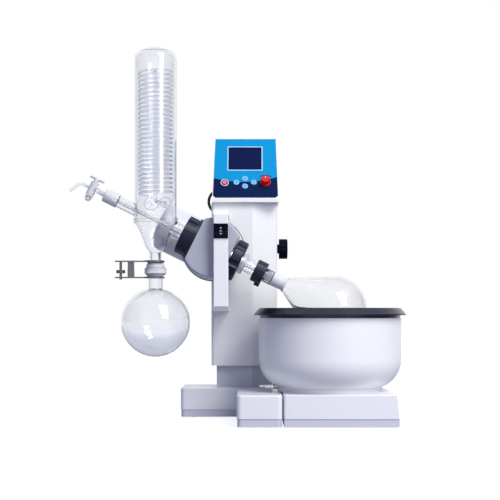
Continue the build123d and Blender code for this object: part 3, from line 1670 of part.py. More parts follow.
block_low_z = lower_jaw_z + jaw_thickness + seat_gap
jaw_pin_z = (lower_jaw_z + upper_jaw_z + jaw_thickness) / 2
upper_plate = jaw_plate(upper_jaw_z)
lower_plate = jaw_plate(lower_jaw_z)
with BuildPart() as clamp_upper_jaw:
    add(upper_plate)
    with BuildSketch(Plane.XY.offset(jaw_pin_z)):
        with Locations((jaw_block_x, drive_y)):
            Rectangle(jaw_block_width, jaw_arm_width - 2 * (jaw_thickness + seat_gap))
    extrude(amount=upper_jaw_z - jaw_pin_z)
    with BuildSketch(Plane.XZ.offset(-drive_y)):
        with Locations((jaw_block_x, jaw_pin_z)):
            Circle(jaw_block_width / 2)
    extrude(amount=jaw_arm_width / 2 - jaw_thickness - seat_gap, both=True)
    with BuildSketch(Plane.XZ.offset(-drive_y)):
        with Locations((jaw_block_x, jaw_pin_z)):
            Circle(jaw_pin_radius)
    extrude(amount=jaw_arm_width / 2 + seat_gap, both=True)
    with BuildSketch(Plane.XY.offset(lower_jaw_z - jaw_thickness)):
        with Locations((jaw_screw_x, drive_y)):
            Circle(jaw_screw_radius)
    extrude(amount=upper_jaw_z - lower_jaw_z + 2 * jaw_thickness)
clamp_upper_jaw.part.label = "clamp_upper_jaw"
export_step(clamp_upper_jaw.part, "parts/clamp_upper_jaw.step")

with BuildPart() as clamp_lower_jaw:
    add(lower_plate)
    cheek_offset = (jaw_arm_width - jaw_thickness) / 2
    cheek_rise = jaw_pin_z - lower_jaw_z
    with BuildSketch(Plane.XY.offset(lower_jaw_z)):
        with Locations((jaw_block_x, drive_y - cheek_offset), (jaw_block_x, drive_y + cheek_offset)):
            Rectangle(jaw_block_width, jaw_thickness)
    extrude(amount=cheek_rise)
    with BuildSketch(Plane.XZ.offset(-drive_y)):
        with Locations((jaw_block_x, jaw_pin_z)):
            Circle(jaw_block_width / 2)
    extrude(amount=jaw_arm_width / 2, both=True)
    with BuildSketch(Plane.XZ.offset(-drive_y)):
        with Locations((jaw_block_x, jaw_pin_z)):
            Rectangle(2 * jaw_block_width, 2 * jaw_block_width)
    extrude(amount=cheek_offset - jaw_thickness / 2, both=True, mode=Mode.SUBTRACT)
    with BuildSketch(Plane.XZ.offset(-drive_y)):
        with Locations((jaw_block_x, jaw_pin_z)):
            Circle(jaw_pin_radius + running_gap)
    extrude(amount=jaw_arm_width, both=True, mode=Mode.SUBTRACT)
    with BuildSketch(Plane.XY.offset(lower_jaw_z - overrun)):
        with Locations((jaw_screw_x, drive_y)):
            SlotOverall(4 * jaw_screw_radius, 2 * (jaw_screw_radius + slide_gap))
    extrude(amount=jaw_thickness + 2 * overrun, mode=Mode.SUBTRACT)
clamp_lower_jaw.part.label = "clamp_lower_jaw"
export_step(clamp_lower_jaw.part, "parts/clamp_lower_jaw.step")

with BuildPart() as clamp_nut:
    with BuildSketch(Plane.XY.offset(jaw_nut_z)):
        with Locations((jaw_screw_x, drive_y)):
            Circle(jaw_nut_radius)
            Circle(jaw_screw_radius + running_gap, mode=Mode.SUBTRACT)
            with PolarLocations(jaw_nut_radius, jaw_nut_flutes):
                Circle(jaw_nut_flute_radius, mode=Mode.SUBTRACT)
    extrude(amount=jaw_nut_height)
clamp_nut.part.label = "clamp_nut"
export_step(clamp_nut.part, "parts/clamp_nut.step")

# Heating bath
bath_base_front_y = foot_front_y
bath_base_y = bath_base_front_y + bath_base_depth / 2


def bath_block(inset, top_z):
    """The bath base's block with its sloping right side, drawn smaller by the inset."""
    slope = bath_base_taper * (top_z - rubber_height) / (bath_base_top_z - rubber_height)
    with BuildPart() as block:
        with BuildSketch(Plane.XZ.offset(-bath_base_front_y - bath_base_depth + inset)):
            Polygon(
                (bath_base_left + inset, rubber_height),
                (bath_base_right - inset, rubber_height),
                (bath_base_right - inset - slope, top_z),
                (bath_base_left + inset, top_z),
                align=None,
            )
        extrude(amount=bath_base_depth - 2 * inset)
    return block.part


bath_solid = bath_block(0, bath_base_top_z)
bath_hollow = bath_block(base_wall, bath_base_top_z - base_wall)
with BuildPart() as bath_base:
    add(bath_solid)
    fillet(bath_base.edges().filter_by(Axis.Z), base_corner / 2)
    fillet(bath_base.faces().sort_by(Axis.Z)[-1].edges(), base_edge / 2)
    add(bath_hollow, mode=Mode.SUBTRACT)
    with BuildSketch(Plane.XY.offset(rubber_height)):
        with Locations(((bath_base_left + bath_base_right) / 2, bath_base_y)):
            Rectangle(bath_base_right - bath_base_left, bath_base_depth)
            Rectangle(
                bath_base_right - bath_base_left - 2 * plinth_inset,
                bath_base_depth - 2 * plinth_inset,
                mode=Mode.SUBTRACT,
            )
    extrude(amount=bath_plinth_height, mode=Mode.SUBTRACT)
    with BuildSketch(Plane.XY.offset(rubber_height)):
        with Locations(((bath_base_left + bath_base_right) / 2, bath_base_y)):
            with GridLocations(
                bath_base_right - bath_base_left - 2 * bath_rubber_inset,
                bath_base_depth - 2 * bath_rubber_inset,
                2,
                2,
            ):
                Circle(bath_rubber_radius)
    extrude(amount=bath_base_top_z - base_wall - rubber_height)
bath_base.part.label = "bath_base"
export_step(bath_base.part, "parts/bath_base.step")

with BuildPart() as bath_feet:
    with BuildSketch():
        with Locations(((bath_base_left + bath_base_right) / 2, bath_base_y)):
            with GridLocations(
                bath_base_right - bath_base_left - 2 * bath_rubber_inset,
                bath_base_depth - 2 * bath_rubber_inset,
                2,
                2,
            ):
                Circle(bath_rubber_radius)
    extrude(amount=rubber_height)
    chamfer(bath_feet.edges().group_by(Axis.Z)[0], rubber_edge)
bath_feet.part.label = "bath_feet"
export_step(bath_feet.part, "parts/bath_feet.step")

curve_centre_r = bowl_radius - bowl_curve_radius


def bowl_side(inset):
    """One side of the bowl's section: foot, curve and straight wall, moved in by the inset."""
    curve = bowl_curve_radius - inset
    foot = bowl_foot_radius - inset
    meet_z = bowl_straight_z - sqrt(curve**2 - (foot - curve_centre_r) ** 2)
    middle = curve * sin(radians(drive_tilt))
    return foot, meet_z, (curve_centre_r + sqrt(curve**2 - middle**2), bowl_straight_z - middle)


with BuildPart() as bath_bowl:
    for inset, mode in ((0, Mode.ADD), (bowl_wall, Mode.SUBTRACT)):
        foot, meet_z, middle = bowl_side(inset)
        floor_z = bath_base_top_z if inset == 0 else bath_base_top_z + bowl_wall
        with BuildSketch(bath_section):
            with BuildLine():
                Polyline((0, floor_z), (foot, floor_z), (foot, meet_z))
                ThreePointArc((foot, meet_z), middle, (bowl_radius - inset, bowl_straight_z))
                Polyline(
                    (bowl_radius - inset, bowl_straight_z),
                    (bowl_radius - inset, bowl_top_z),
                    (0, bowl_top_z),
                    (0, floor_z),
                )
            make_face()
        revolve(axis=bath_axis, mode=mode)
    with BuildSketch(Plane.YZ.offset(bath_x - bowl_radius)):
        with Locations((bath_y, cock_z)):
            Circle(cock_radius + running_gap)
    extrude(amount=bowl_radius, mode=Mode.SUBTRACT)
bath_bowl.part.label = "bath_bowl"
export_step(bath_bowl.part, "parts/bath_bowl.step")

pan_lip_z = rim_top_z - rim_thickness - pan_wall
with BuildPart() as bath_rim:
    with BuildSketch(bath_section):
        with BuildLine():
            Polyline(
                (rim_inner_radius, rim_top_z),
                (rim_top_radius, rim_top_z),
                (rim_radius, rim_low_z),
                (rim_radius, rim_edge_z),
                (bowl_radius - rim_setback, rim_edge_z),
                (bowl_radius - rim_setback, bowl_top_z),
                (rim_skirt_radius + press_gap, bowl_top_z),
                (rim_skirt_radius + press_gap, pan_lip_z + pan_wall),
                (rim_inner_radius, pan_lip_z + pan_wall),
                close=True,
            )
        make_face()
    revolve(axis=bath_axis)
bath_rim.part.label = "bath_rim"
export_step(bath_rim.part, "parts/bath_rim.step")

with BuildPart() as bath_pan:
    arc_share = sin(pi / 4)
    corner_x, corner_z = pan_radius - pan_corner, pan_bottom_z + pan_corner
    inner_reach, outer_reach = pan_corner * arc_share, (pan_corner + pan_wall) * arc_share
    with BuildSketch(bath_section):
        with BuildLine():
            Line((0, pan_bottom_z - pan_wall), (corner_x, pan_bottom_z - pan_wall))
            ThreePointArc(
                (corner_x, pan_bottom_z - pan_wall),
                (corner_x + outer_reach, corner_z - outer_reach),
                (pan_radius + pan_wall, corner_z),
            )
            Polyline(
                (pan_radius + pan_wall, corner_z),
                (pan_radius + pan_wall, pan_lip_z),
                (pan_lip_radius, pan_lip_z),
                (pan_lip_radius, pan_lip_z + pan_wall),
                (pan_radius, pan_lip_z + pan_wall),
                (pan_radius, corner_z),
            )
            ThreePointArc(
                (pan_radius, corner_z),
                (corner_x + inner_reach, corner_z - inner_reach),
                (corner_x, pan_bottom_z),
            )
            Polyline((corner_x, pan_bottom_z), (0, pan_bottom_z), (0, pan_bottom_z - pan_wall))
        make_face()
    revolve(axis=bath_axis)
bath_pan.part.label = "bath_pan"
export_step(bath_pan.part, "parts/bath_pan.step")

with BuildPart() as heating_element:
    heater_z = pan_bottom_z - pan_wall - heater_tube_radius - seat_gap
    with BuildSketch(bath_section):
        with Locations((heater_radius, heater_z)):
            Circle(heater_tube_radius)
    revolve(axis=bath_axis)
heating_element.part.label = "heating_element"
export_step(heating_element.part, "parts/heating_element.step")

with BuildPart() as drain_cock:
    cock_right_x = bath_x - bowl_foot_radius + cock_inside
    with BuildSketch(Plane.YZ.offset(cock_end_x)):
        with Locations((bath_y, cock_z)):
            Circle(cock_radius)
    extrude(amount=cock_right_x - cock_end_x)
    with BuildSketch(Plane.YZ.offset(cock_end_x)):
        with Locations((bath_y, cock_z)):
            Circle(cock_barb_radius)
    extrude(amount=-cock_barb_length)
    with BuildSketch(Plane.XZ.offset(-bath_y)):
        with Locations((cock_plug_x, cock_z)):
            Circle(cock_plug_radius)
    extrude(amount=cock_plug_reach)
    with BuildSketch(Plane.YZ.offset(cock_end_x - cock_barb_length)):
        with Locations((bath_y, cock_z)):
            Circle(cock_bore)
    extrude(amount=cock_right_x - cock_end_x + cock_barb_length, mode=Mode.SUBTRACT)
drain_cock.part.label = "drain_cock"
export_step(drain_cock.part, "parts/drain_cock.step")

with BuildPart() as drain_lever:
    with BuildSketch(Plane.XZ.offset(cock_plug_reach + seat_gap - bath_y)):
        with Locations((cock_plug_x, cock_z)):
            Circle(cock_plug_radius)
            SlotOverall(lever_length, lever_width)
    extrude(amount=lever_thickness)
drain_lever.part.label = "drain_lever"
export_step(drain_lever.part, "parts/drain_lever.step")
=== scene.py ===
# %% [markdown]
# A rotary evaporator stands on a bench: glass on the left, a motor lift in the middle, a water bath on the
# right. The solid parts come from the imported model. This lesson dresses them with materials, and adds the
# pieces that only the eye needs, such as the close turns of the glass coil and the printed marks.
# Everything is in metres: +X runs to the bath, +Y to the back, +Z up.

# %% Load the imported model
from contextlib import contextmanager
from math import atan2, cos, pi, radians, sin, sqrt

import bpy
from mathutils import Matrix, Vector


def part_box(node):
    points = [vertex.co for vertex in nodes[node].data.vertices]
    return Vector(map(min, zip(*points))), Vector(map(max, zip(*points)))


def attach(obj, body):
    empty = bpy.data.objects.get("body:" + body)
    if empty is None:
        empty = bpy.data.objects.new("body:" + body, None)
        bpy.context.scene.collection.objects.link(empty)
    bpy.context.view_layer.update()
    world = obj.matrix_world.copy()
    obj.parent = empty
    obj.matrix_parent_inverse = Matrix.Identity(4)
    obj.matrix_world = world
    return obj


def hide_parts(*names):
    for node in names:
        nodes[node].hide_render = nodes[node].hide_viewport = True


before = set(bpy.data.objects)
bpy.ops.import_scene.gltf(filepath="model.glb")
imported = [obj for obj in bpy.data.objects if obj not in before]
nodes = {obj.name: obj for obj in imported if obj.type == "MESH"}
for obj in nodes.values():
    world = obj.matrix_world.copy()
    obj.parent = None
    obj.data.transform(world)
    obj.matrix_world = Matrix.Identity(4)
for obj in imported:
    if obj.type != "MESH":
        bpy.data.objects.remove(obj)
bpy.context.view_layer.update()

# %% [markdown]
# The drive axis slopes down to the right, and the console's face leans back. Several pieces are placed
# along these two directions, so they are written once, with the points they start from. The glass stands
# upright on an axis of its own, left of the drive.

# %% The sloping directions
drive_tilt = radians(26.5)
drive_pivot = Vector((-0.0447, -0.007, 0.3266))
drive_down = Vector((cos(drive_tilt), 0, -sin(drive_tilt)))
drive_up = Vector((sin(drive_tilt), 0, cos(drive_tilt)))
panel_depth = 0.075
panel_height = 0.129
panel_lean = atan2(panel_height, panel_depth)
panel_out = Vector((0, -sin(panel_lean), cos(panel_lean)))
panel_rise = Vector((0, cos(panel_lean), sin(panel_lean)))
panel_foot = Vector((0, 0.060, 0.429))
glass_x = -0.1535
glass_y = drive_pivot.y
upright = Vector((0, 0, 1))
backwards = Vector((0, 1, 0))


def along_drive(distance):
    """A point on the drive axis, that far down from the pivot."""
    return drive_pivot + drive_down * distance


def on_panel(across, rise, proud=0.0):
    """A point on the console's sloping face: X, distance up the slope, height off the face."""
    return panel_foot + Vector((across, 0, 0)) + panel_rise * rise + panel_out * proud


print("panel leans back by", round(90 - panel_lean * 180 / pi, 1), "degrees")

# %% [markdown]
# An operator works on everything that is selected, and the loader leaves the solids selected. So a new
# piece starts with nothing selected. When it is done, its place is moved into its mesh, its sharp edges
# stay sharp under smooth shading, and it is told which body it rides on.

# %% Helpers for starting, editing and finishing a piece
def nothing_selected():
    bpy.ops.object.select_all(action="DESELECT")


def take(piece):
    """Selects this piece alone, and makes it the one that operators work on."""
    nothing_selected()
    piece.select_set(True)
    bpy.context.view_layer.objects.active = piece


@contextmanager
def editing(piece, start="SELECT"):
    """Edit mode on one piece. All of its mesh is selected at the start, or with DESELECT none of it."""
    take(piece)
    bpy.ops.object.mode_set(mode="EDIT")
    bpy.ops.mesh.select_all(action=start)
    yield
    bpy.ops.object.mode_set(mode="OBJECT")


def face_outwards():
    """Turns every face outwards. It works in edit mode."""
    bpy.ops.mesh.select_all(action="SELECT")
    bpy.ops.mesh.normals_make_consistent(inside=False)


def finish_modifiers(piece):
    take(piece)
    for modifier in list(piece.modifiers):
        bpy.ops.object.modifier_apply(modifier=modifier.name)


def settle(piece, name, body, material, angle=35):
    """Moves the piece's place into its mesh, smooths it, and lets it ride on its body."""
    take(piece)
    bpy.ops.object.transform_apply(location=True, rotation=True, scale=True)
    bpy.ops.object.shade_smooth_by_angle(angle=radians(angle))
    piece.name = name
    piece.data.name = name
    piece.data.materials.clear()
    piece.data.materials.append(material)
    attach(piece, body)
    print(name, "faces:", len(piece.data.polygons))


# %% [markdown]
# A material is a tree of nodes, and so is a node group. Two helpers keep such a tree readable: one makes a
# node and sets it, the other lists the wires. A group here always takes a place on the piece and some
# numbers, and gives numbers that change over the surface.

# %% Helpers for node trees
def add_node(tree, kind, inputs=None, **settings):
    """A new node with its settings, such as an operation, and the values of its free inputs."""
    made = tree.nodes.new("ShaderNode" + kind)
    for setting, value in settings.items():
        setattr(made, setting, value)
    for socket, value in (inputs or {}).items():
        made.inputs[socket].default_value = value
    return made


def connect(tree, *wires):
    """Links nodes. Each wire is a node and its output, then a node and its input."""
    for source, output, target, socket in wires:
        tree.links.new(source.outputs[output], target.inputs[socket])


def new_group(name, numbers, results):
    """A group with its named sockets, its input node and its output node."""
    group = bpy.data.node_groups.new(name, "ShaderNodeTree")
    group.interface.new_socket("Place", in_out="INPUT", socket_type="NodeSocketVector")
    for in_out, socket_names in (("INPUT", numbers), ("OUTPUT", results)):
        for socket_name in socket_names:
            group.interface.new_socket(socket_name, in_out=in_out, socket_type="NodeSocketFloat")
    return group, group.nodes.new("NodeGroupInput"), group.nodes.new("NodeGroupOutput")


def new_material(name):
    """A material with its tree and its shader."""
    material = bpy.data.materials.new(name)
    material.use_nodes = True
    return material, material.node_tree, material.node_tree.nodes["Principled BSDF"]


def shader_of(material):
    return material.node_tree.nodes["Principled BSDF"]


# %% [markdown]
# Paint, plastic and metal are never quite even. One node group gives every finish its small unevenness:
# a slow drift in how glossy it is, and a fine grain to bump. It is built once and set for each material.

# %% The group for an uneven surface
surface_life, life_in, life_out = new_group(
    "surface_life", ("Grain Scale", "Gloss Low", "Gloss High"), ("Roughness", "Height", "Drift")
)
slow_noise = add_node(surface_life, "TexNoise", {"Scale": 14.0, "Detail": 3.0})
fine_noise = add_node(surface_life, "TexNoise", {"Detail": 2.0})
gloss_range = add_node(surface_life, "MapRange", {"From Min": 0.3, "From Max": 0.7})
connect(
    surface_life,
    (life_in, "Place", slow_noise, "Vector"),
    (life_in, "Place", fine_noise, "Vector"),
    (life_in, "Grain Scale", fine_noise, "Scale"),
    (slow_noise, "Fac", gloss_range, "Value"),
    (life_in, "Gloss Low", gloss_range, "To Min"),
    (life_in, "Gloss High", gloss_range, "To Max"),
    (gloss_range, "Result", life_out, "Roughness"),
    (fine_noise, "Fac", life_out, "Height"),
    (slow_noise, "Fac", life_out, "Drift"),
)
print("group:", surface_life.name, "nodes:", len(surface_life.nodes))

# %% [markdown]
# Each finish is one material. A maker names it after what the surface is: lacquer, moulded plastic,
# turned alloy. They share the same frame: the place on the piece feeds the uneven group, which feeds
# roughness and a very light bump, and two close tones of the colour mix over the slow drift.

# %% A helper that makes a finish
grain_height = 0.0004
coat_roughness = 0.15


def finish(name, colour, gloss, grain=900.0, bump=0.02, metal=0.0, coat=0.0, tone=0.06, stretch=(1, 1, 1),
           specular=0.5, gleam=(1.0, 1.0, 1.0), clear=0.0):
    """A material with two close tones, uneven gloss between the two given values, and a fine grain."""
    material, tree, shader = new_material(name)
    place = add_node(tree, "TexCoord", name="place")
    mapping = add_node(tree, "Mapping", {"Scale": stretch})
    life = add_node(
        tree, "Group", {"Grain Scale": grain, "Gloss Low": gloss[0], "Gloss High": gloss[1]},
        node_tree=surface_life,
    )
    darker = (*[channel * (1 - tone) for channel in colour], 1)
    lighter = (*[min(1, channel * (1 + tone)) for channel in colour], 1)
    tones = add_node(tree, "Mix", {"A": darker, "B": lighter}, name="tones", data_type="RGBA")
    height = add_node(tree, "Bump", {"Strength": bump, "Distance": grain_height})
    connect(
        tree,
        (place, "Object", mapping, "Vector"),
        (mapping, "Vector", life, "Place"),
        (life, "Drift", tones, "Factor"),
        (tones, "Result", shader, "Base Color"),
        (life, "Roughness", shader, "Roughness"),
        (life, "Height", height, "Height"),
        (height, "Normal", shader, "Normal"),
    )
    shader.inputs["Metallic"].default_value = metal
    shader.inputs["Transmission Weight"].default_value = clear
    shader.inputs["Specular IOR Level"].default_value = specular
    shader.inputs["Specular Tint"].default_value = (*gleam, 1)
    shader.inputs["Coat Weight"].default_value = coat
    shader.inputs["Coat Roughness"].default_value = coat_roughness
    return material


# %% The painted finishes
thick_coat = {"grain": 700, "bump": 0.05, "coat": 0.25, "tone": 0.02}
thin_coat = {"grain": 700, "bump": 0.05, "coat": 0.2, "tone": 0.03}
white_lacquer = finish("white_lacquer", (0.86, 0.865, 0.885), (0.30, 0.42), **thick_coat)
plinth_lacquer_painted_shade = finish("plinth_lacquer_painted_shade", (0.85, 0.86, 0.90), (0.30, 0.42), **thick_coat)
motor_lacquer = finish("motor_lacquer", (0.72, 0.73, 0.79), (0.32, 0.44), **thin_coat)
grey_lacquer = finish("grey_lacquer", (0.60, 0.61, 0.68), (0.34, 0.46), **thin_coat)
# Painted shade: the drive housing is white paint like the column; this darker blue-grey stands in for the
# shadow of the grip and console on it.
housing_painted_shade = finish("housing_painted_shade", (0.40, 0.41, 0.49), (0.34, 0.46), **thin_coat)
ring_lacquer = finish("ring_lacquer", (0.17, 0.175, 0.22), (0.34, 0.46), grain=700, bump=0.05, tone=0.05)
dark_lacquer = finish("dark_lacquer", (0.035, 0.035, 0.045), (0.40, 0.55), tone=0.1)
mark_navy = finish("mark_navy", (0.02, 0.12, 0.38), (0.40, 0.50), tone=0.02)
mark_white = finish("mark_white", (0.82, 0.85, 0.90), (0.40, 0.50), tone=0.02)
mark_grey = finish("mark_grey", (0.40, 0.41, 0.46), (0.40, 0.50), tone=0.04)
mark_purple = finish("mark_purple", (0.05, 0.010, 0.11), (0.4, 0.5), tone=0.05, specular=0.2)
print("painted finishes:", len(bpy.data.materials))

# %% The moulded finishes
cool_gleam = (0.72, 0.76, 1.0)
soft_black = finish("soft_black", (0.007, 0.009, 0.024), (0.32, 0.46), grain=1600, bump=0.12, tone=0.15,
                    specular=0.35, gleam=(0.72, 0.78, 1.0))
gloss_black = finish("gloss_black", (0.004, 0.005, 0.015), (0.20, 0.28), grain=300, tone=0.1,
                     specular=0.6, gleam=cool_gleam)
matt_black = finish("matt_black", (0.001, 0.0015, 0.008), (0.5, 0.6), grain=1600, bump=0.08, tone=0.1,
                    specular=0.08, gleam=cool_gleam)
black_rubber = finish("black_rubber", (0.012, 0.012, 0.013), (0.62, 0.78), grain=1200, bump=0.15, tone=0.2)
pale_plastic = finish("pale_plastic", (0.78, 0.79, 0.80), (0.35, 0.45), tone=0.03)
frame_pale = finish("frame_pale", (0.42, 0.66, 0.90), (0.35, 0.45), tone=0.03)
key_blue = finish("key_blue", (0.20, 0.48, 0.78), (0.30, 0.40), tone=0.03)
control_red = finish("control_red", (0.68, 0.012, 0.022), (0.3, 0.42), tone=0.08, specular=0.3)
button_crimson = finish("button_crimson", (0.45, 0.012, 0.10), (0.3, 0.42), tone=0.08, specular=0.3)
board_green = finish("board_green", (0.02, 0.11, 0.05), (0.3, 0.4), tone=0.1)
ground_glass = finish("ground_glass", (0.83, 0.835, 0.885), (0.5, 0.6), grain=2200, bump=0.1, tone=0.04,
                      specular=0.3, clear=0.15)
collar_plastic = finish("collar_plastic", (0.84, 0.85, 0.91), (0.2, 0.3), bump=0.03, tone=0.03, clear=0.55)
tube_plastic = finish("tube_plastic", (0.95, 0.955, 0.975), (0.12, 0.18), bump=0.01, tone=0.01, clear=0.92)
print("painted and moulded finishes:", len(bpy.data.materials))

# %% The metal finishes
steel_sheet = finish("steel_sheet", (0.62, 0.63, 0.66), (0.22, 0.36), grain=420, bump=0.06, metal=1.0,
                     stretch=(1, 1, 0.08))
bright_chrome = finish("bright_chrome", (0.70, 0.71, 0.74), (0.06, 0.14), grain=300, bump=0.01, metal=1.0,
                       tone=0.04)
turned_alloy = finish("turned_alloy", (0.60, 0.61, 0.66), (0.26, 0.38), grain=800, bump=0.06, metal=1.0,
                      tone=0.05)
dark_steel = finish("dark_steel", (0.16, 0.165, 0.19), (0.24, 0.36), grain=600, bump=0.05, metal=1.0, tone=0.1)
print("painted, moulded and metal finishes:", len(bpy.data.materials))

# %% [markdown]
# Both bases stand on a plinth: below a crease their sides lean in a little, and face a little down. A small
# group masks what lies under a height, and there the lacquer mixes to a darker tone that is painted shade.

# %% The lacquer of the bases, with painted shade on the plinth
crease_height = 0.0158
# Painted shade: the band below the crease is the same lacquer, darkened to deepen the shade of its lean.
plinth_painted_shade = (0.62, 0.64, 0.74, 1)
under_height, under_in, under_out = new_group("under_height", ("Height",), ("Mask",))
under_split = add_node(under_height, "SeparateXYZ")
under_test = add_node(under_height, "Math", operation="LESS_THAN")
connect(
    under_height,
    (under_in, "Place", under_split, "Vector"),
    (under_split, "Z", under_test, 0),
    (under_in, "Height", under_test, 1),
    (under_test, 0, under_out, "Mask"),
)

plinth_tree = plinth_lacquer_painted_shade.node_tree
plinth_shade_mask = add_node(plinth_tree, "Group", {"Height": crease_height}, node_tree=under_height)
plinth_shade_mix = add_node(plinth_tree, "Mix", {"B": plinth_painted_shade}, data_type="RGBA")
connect(
    plinth_tree,
    (plinth_tree.nodes["place"], "Object", plinth_shade_mask, "Place"),
    (plinth_shade_mask, "Mask", plinth_shade_mix, "Factor"),
    (plinth_tree.nodes["tones"], "Result", plinth_shade_mix, "A"),
    (plinth_shade_mix, "Result", shader_of(plinth_lacquer_painted_shade), "Base Color"),
)
print("plinth finish nodes:", len(plinth_tree.nodes))

# %% [markdown]
# Laboratory glass is clear, with a faint grey-blue cast where it is thick. Where one piece of glass plugs
# into the next, both are ground, and the ground band is milky. A small group turns the distance along the
# drive axis into a mask for that band, and the mask roughens the same clear glass.

# %% The group for a ground band
ground_band, band_in, band_out = new_group("ground_band", ("Start", "End"), ("Mask",))
band_axis = add_node(ground_band, "VectorMath", {1: drive_down}, operation="DOT_PRODUCT")
band_distance = add_node(ground_band, "Math", {1: drive_pivot.dot(drive_down)}, operation="SUBTRACT")
after_start = add_node(ground_band, "Math", operation="GREATER_THAN")
before_end = add_node(ground_band, "Math", operation="LESS_THAN")
inside_band = add_node(ground_band, "Math", operation="MULTIPLY")
connect(
    ground_band,
    (band_in, "Place", band_axis, 0),
    (band_axis, "Value", band_distance, 0),
    (band_distance, 0, after_start, 0),
    (band_in, "Start", after_start, 1),
    (band_distance, 0, before_end, 0),
    (band_in, "End", before_end, 1),
    (after_start, 0, inside_band, 0),
    (before_end, 0, inside_band, 1),
    (inside_band, 0, band_out, "Mask"),
)
print("group:", ground_band.name, "nodes:", len(ground_band.nodes))

# %% Clear glass, with or without a ground band
glass_bending = 1.44
ground_roughness = 0.4
flask_band = (0.106, 0.148)
duct_band = (0.106, 0.138)
stopcock_band = (-0.2285, -0.201)


def glass(name, tint=(0.925, 0.935, 0.965), band=None):
    """Clear glass. A band is two distances down the drive axis, between which it is ground."""
    material, tree, shader = new_material(name)
    shader.inputs["Transmission Weight"].default_value = 1.0
    shader.inputs["IOR"].default_value = glass_bending
    shader.inputs["Base Color"].default_value = (*tint, 1)
    shader.inputs["Roughness"].default_value = 0.0
    if band:
        place = add_node(tree, "TexCoord")
        mask = add_node(tree, "Group", {"Start": band[0], "End": band[1]}, node_tree=ground_band)
        rough = add_node(tree, "MapRange", {"To Max": ground_roughness})
        connect(
            tree,
            (place, "Object", mask, "Place"),
            (mask, "Mask", rough, "Value"),
            (rough, "Result", shader, "Roughness"),
        )
    return material


clear_glass = glass("clear_glass")
coil_glass = glass("coil_glass", tint=(0.89, 0.90, 0.945))
flask_glass = glass("flask_glass", tint=(0.95, 0.955, 0.975), band=flask_band)
duct_glass = glass("duct_glass", band=duct_band)
stopcock_glass = glass("stopcock_glass", band=stopcock_band)
print("materials with the glasses:", len(bpy.data.materials))

# %% [markdown]
# The console's face is one printed film: sky blue round the screen, navy round the keys, with the border
# curving down in the middle. The film reads its own place on the slope, so the print needs no picture.
# The border's height is a parabola across the face, and a step turns it into the two inks.

# %% The printed film on the console
border_middle = 0.0127
border_low = 0.0402
border_curve = 2.708
navy_ink = (0.0015, 0.011, 0.062, 1)
sky_ink = (0.003, 0.285, 0.60, 1)
film = finish("printed_film", (0.012, 0.35, 0.74), (0.45, 0.55), grain=1200, bump=0.03, tone=0.03,
              specular=0.06)
film_tree = film.node_tree
film_place = film_tree.nodes["place"]
film_rise = add_node(film_tree, "VectorMath", {1: panel_rise}, operation="DOT_PRODUCT")
film_split = add_node(film_tree, "SeparateXYZ")
film_height = add_node(film_tree, "Math", {1: panel_foot.dot(panel_rise)}, operation="SUBTRACT")
film_across = add_node(film_tree, "Math", {1: border_middle}, operation="SUBTRACT")
film_square = add_node(film_tree, "Math", {1: 2.0}, operation="POWER")
film_border = add_node(film_tree, "Math", {1: border_curve, 2: border_low}, operation="MULTIPLY_ADD")
film_step = add_node(film_tree, "Math", operation="GREATER_THAN")
film_inks = add_node(film_tree, "Mix", {"A": navy_ink, "B": sky_ink}, data_type="RGBA")
connect(
    film_tree,
    (film_place, "Object", film_rise, 0),
    (film_place, "Object", film_split, "Vector"),
    (film_rise, "Value", film_height, 0),
    (film_split, "X", film_across, 0),
    (film_across, 0, film_square, 0),
    (film_square, 0, film_border, 0),
    (film_height, 0, film_step, 0),
    (film_border, 0, film_step, 1),
    (film_step, 0, film_inks, "Factor"),
    (film_inks, "Result", shader_of(film), "Base Color"),
)
print("film nodes:", len(film_tree.nodes))

# %% The lit screen
screen_light = (0.004, 0.012, 0.10, 1)
screen_strength = 0.4
screen_glow = finish("screen_glow", (0.001, 0.005, 0.030), (0.3, 0.36), tone=0.05, specular=0.05)
screen_shader = shader_of(screen_glow)
screen_shader.inputs["Emission Color"].default_value = screen_light
screen_shader.inputs["Emission Strength"].default_value = screen_strength
print("all materials of the object:", len(bpy.data.materials))

# %% [markdown]
# The solids keep their own meshes, and each gets the finish of the real piece, except that the drive housing
# and the plinth band are darkened with painted shade. A table from finish to nodes reads like a maker's parts
# list.

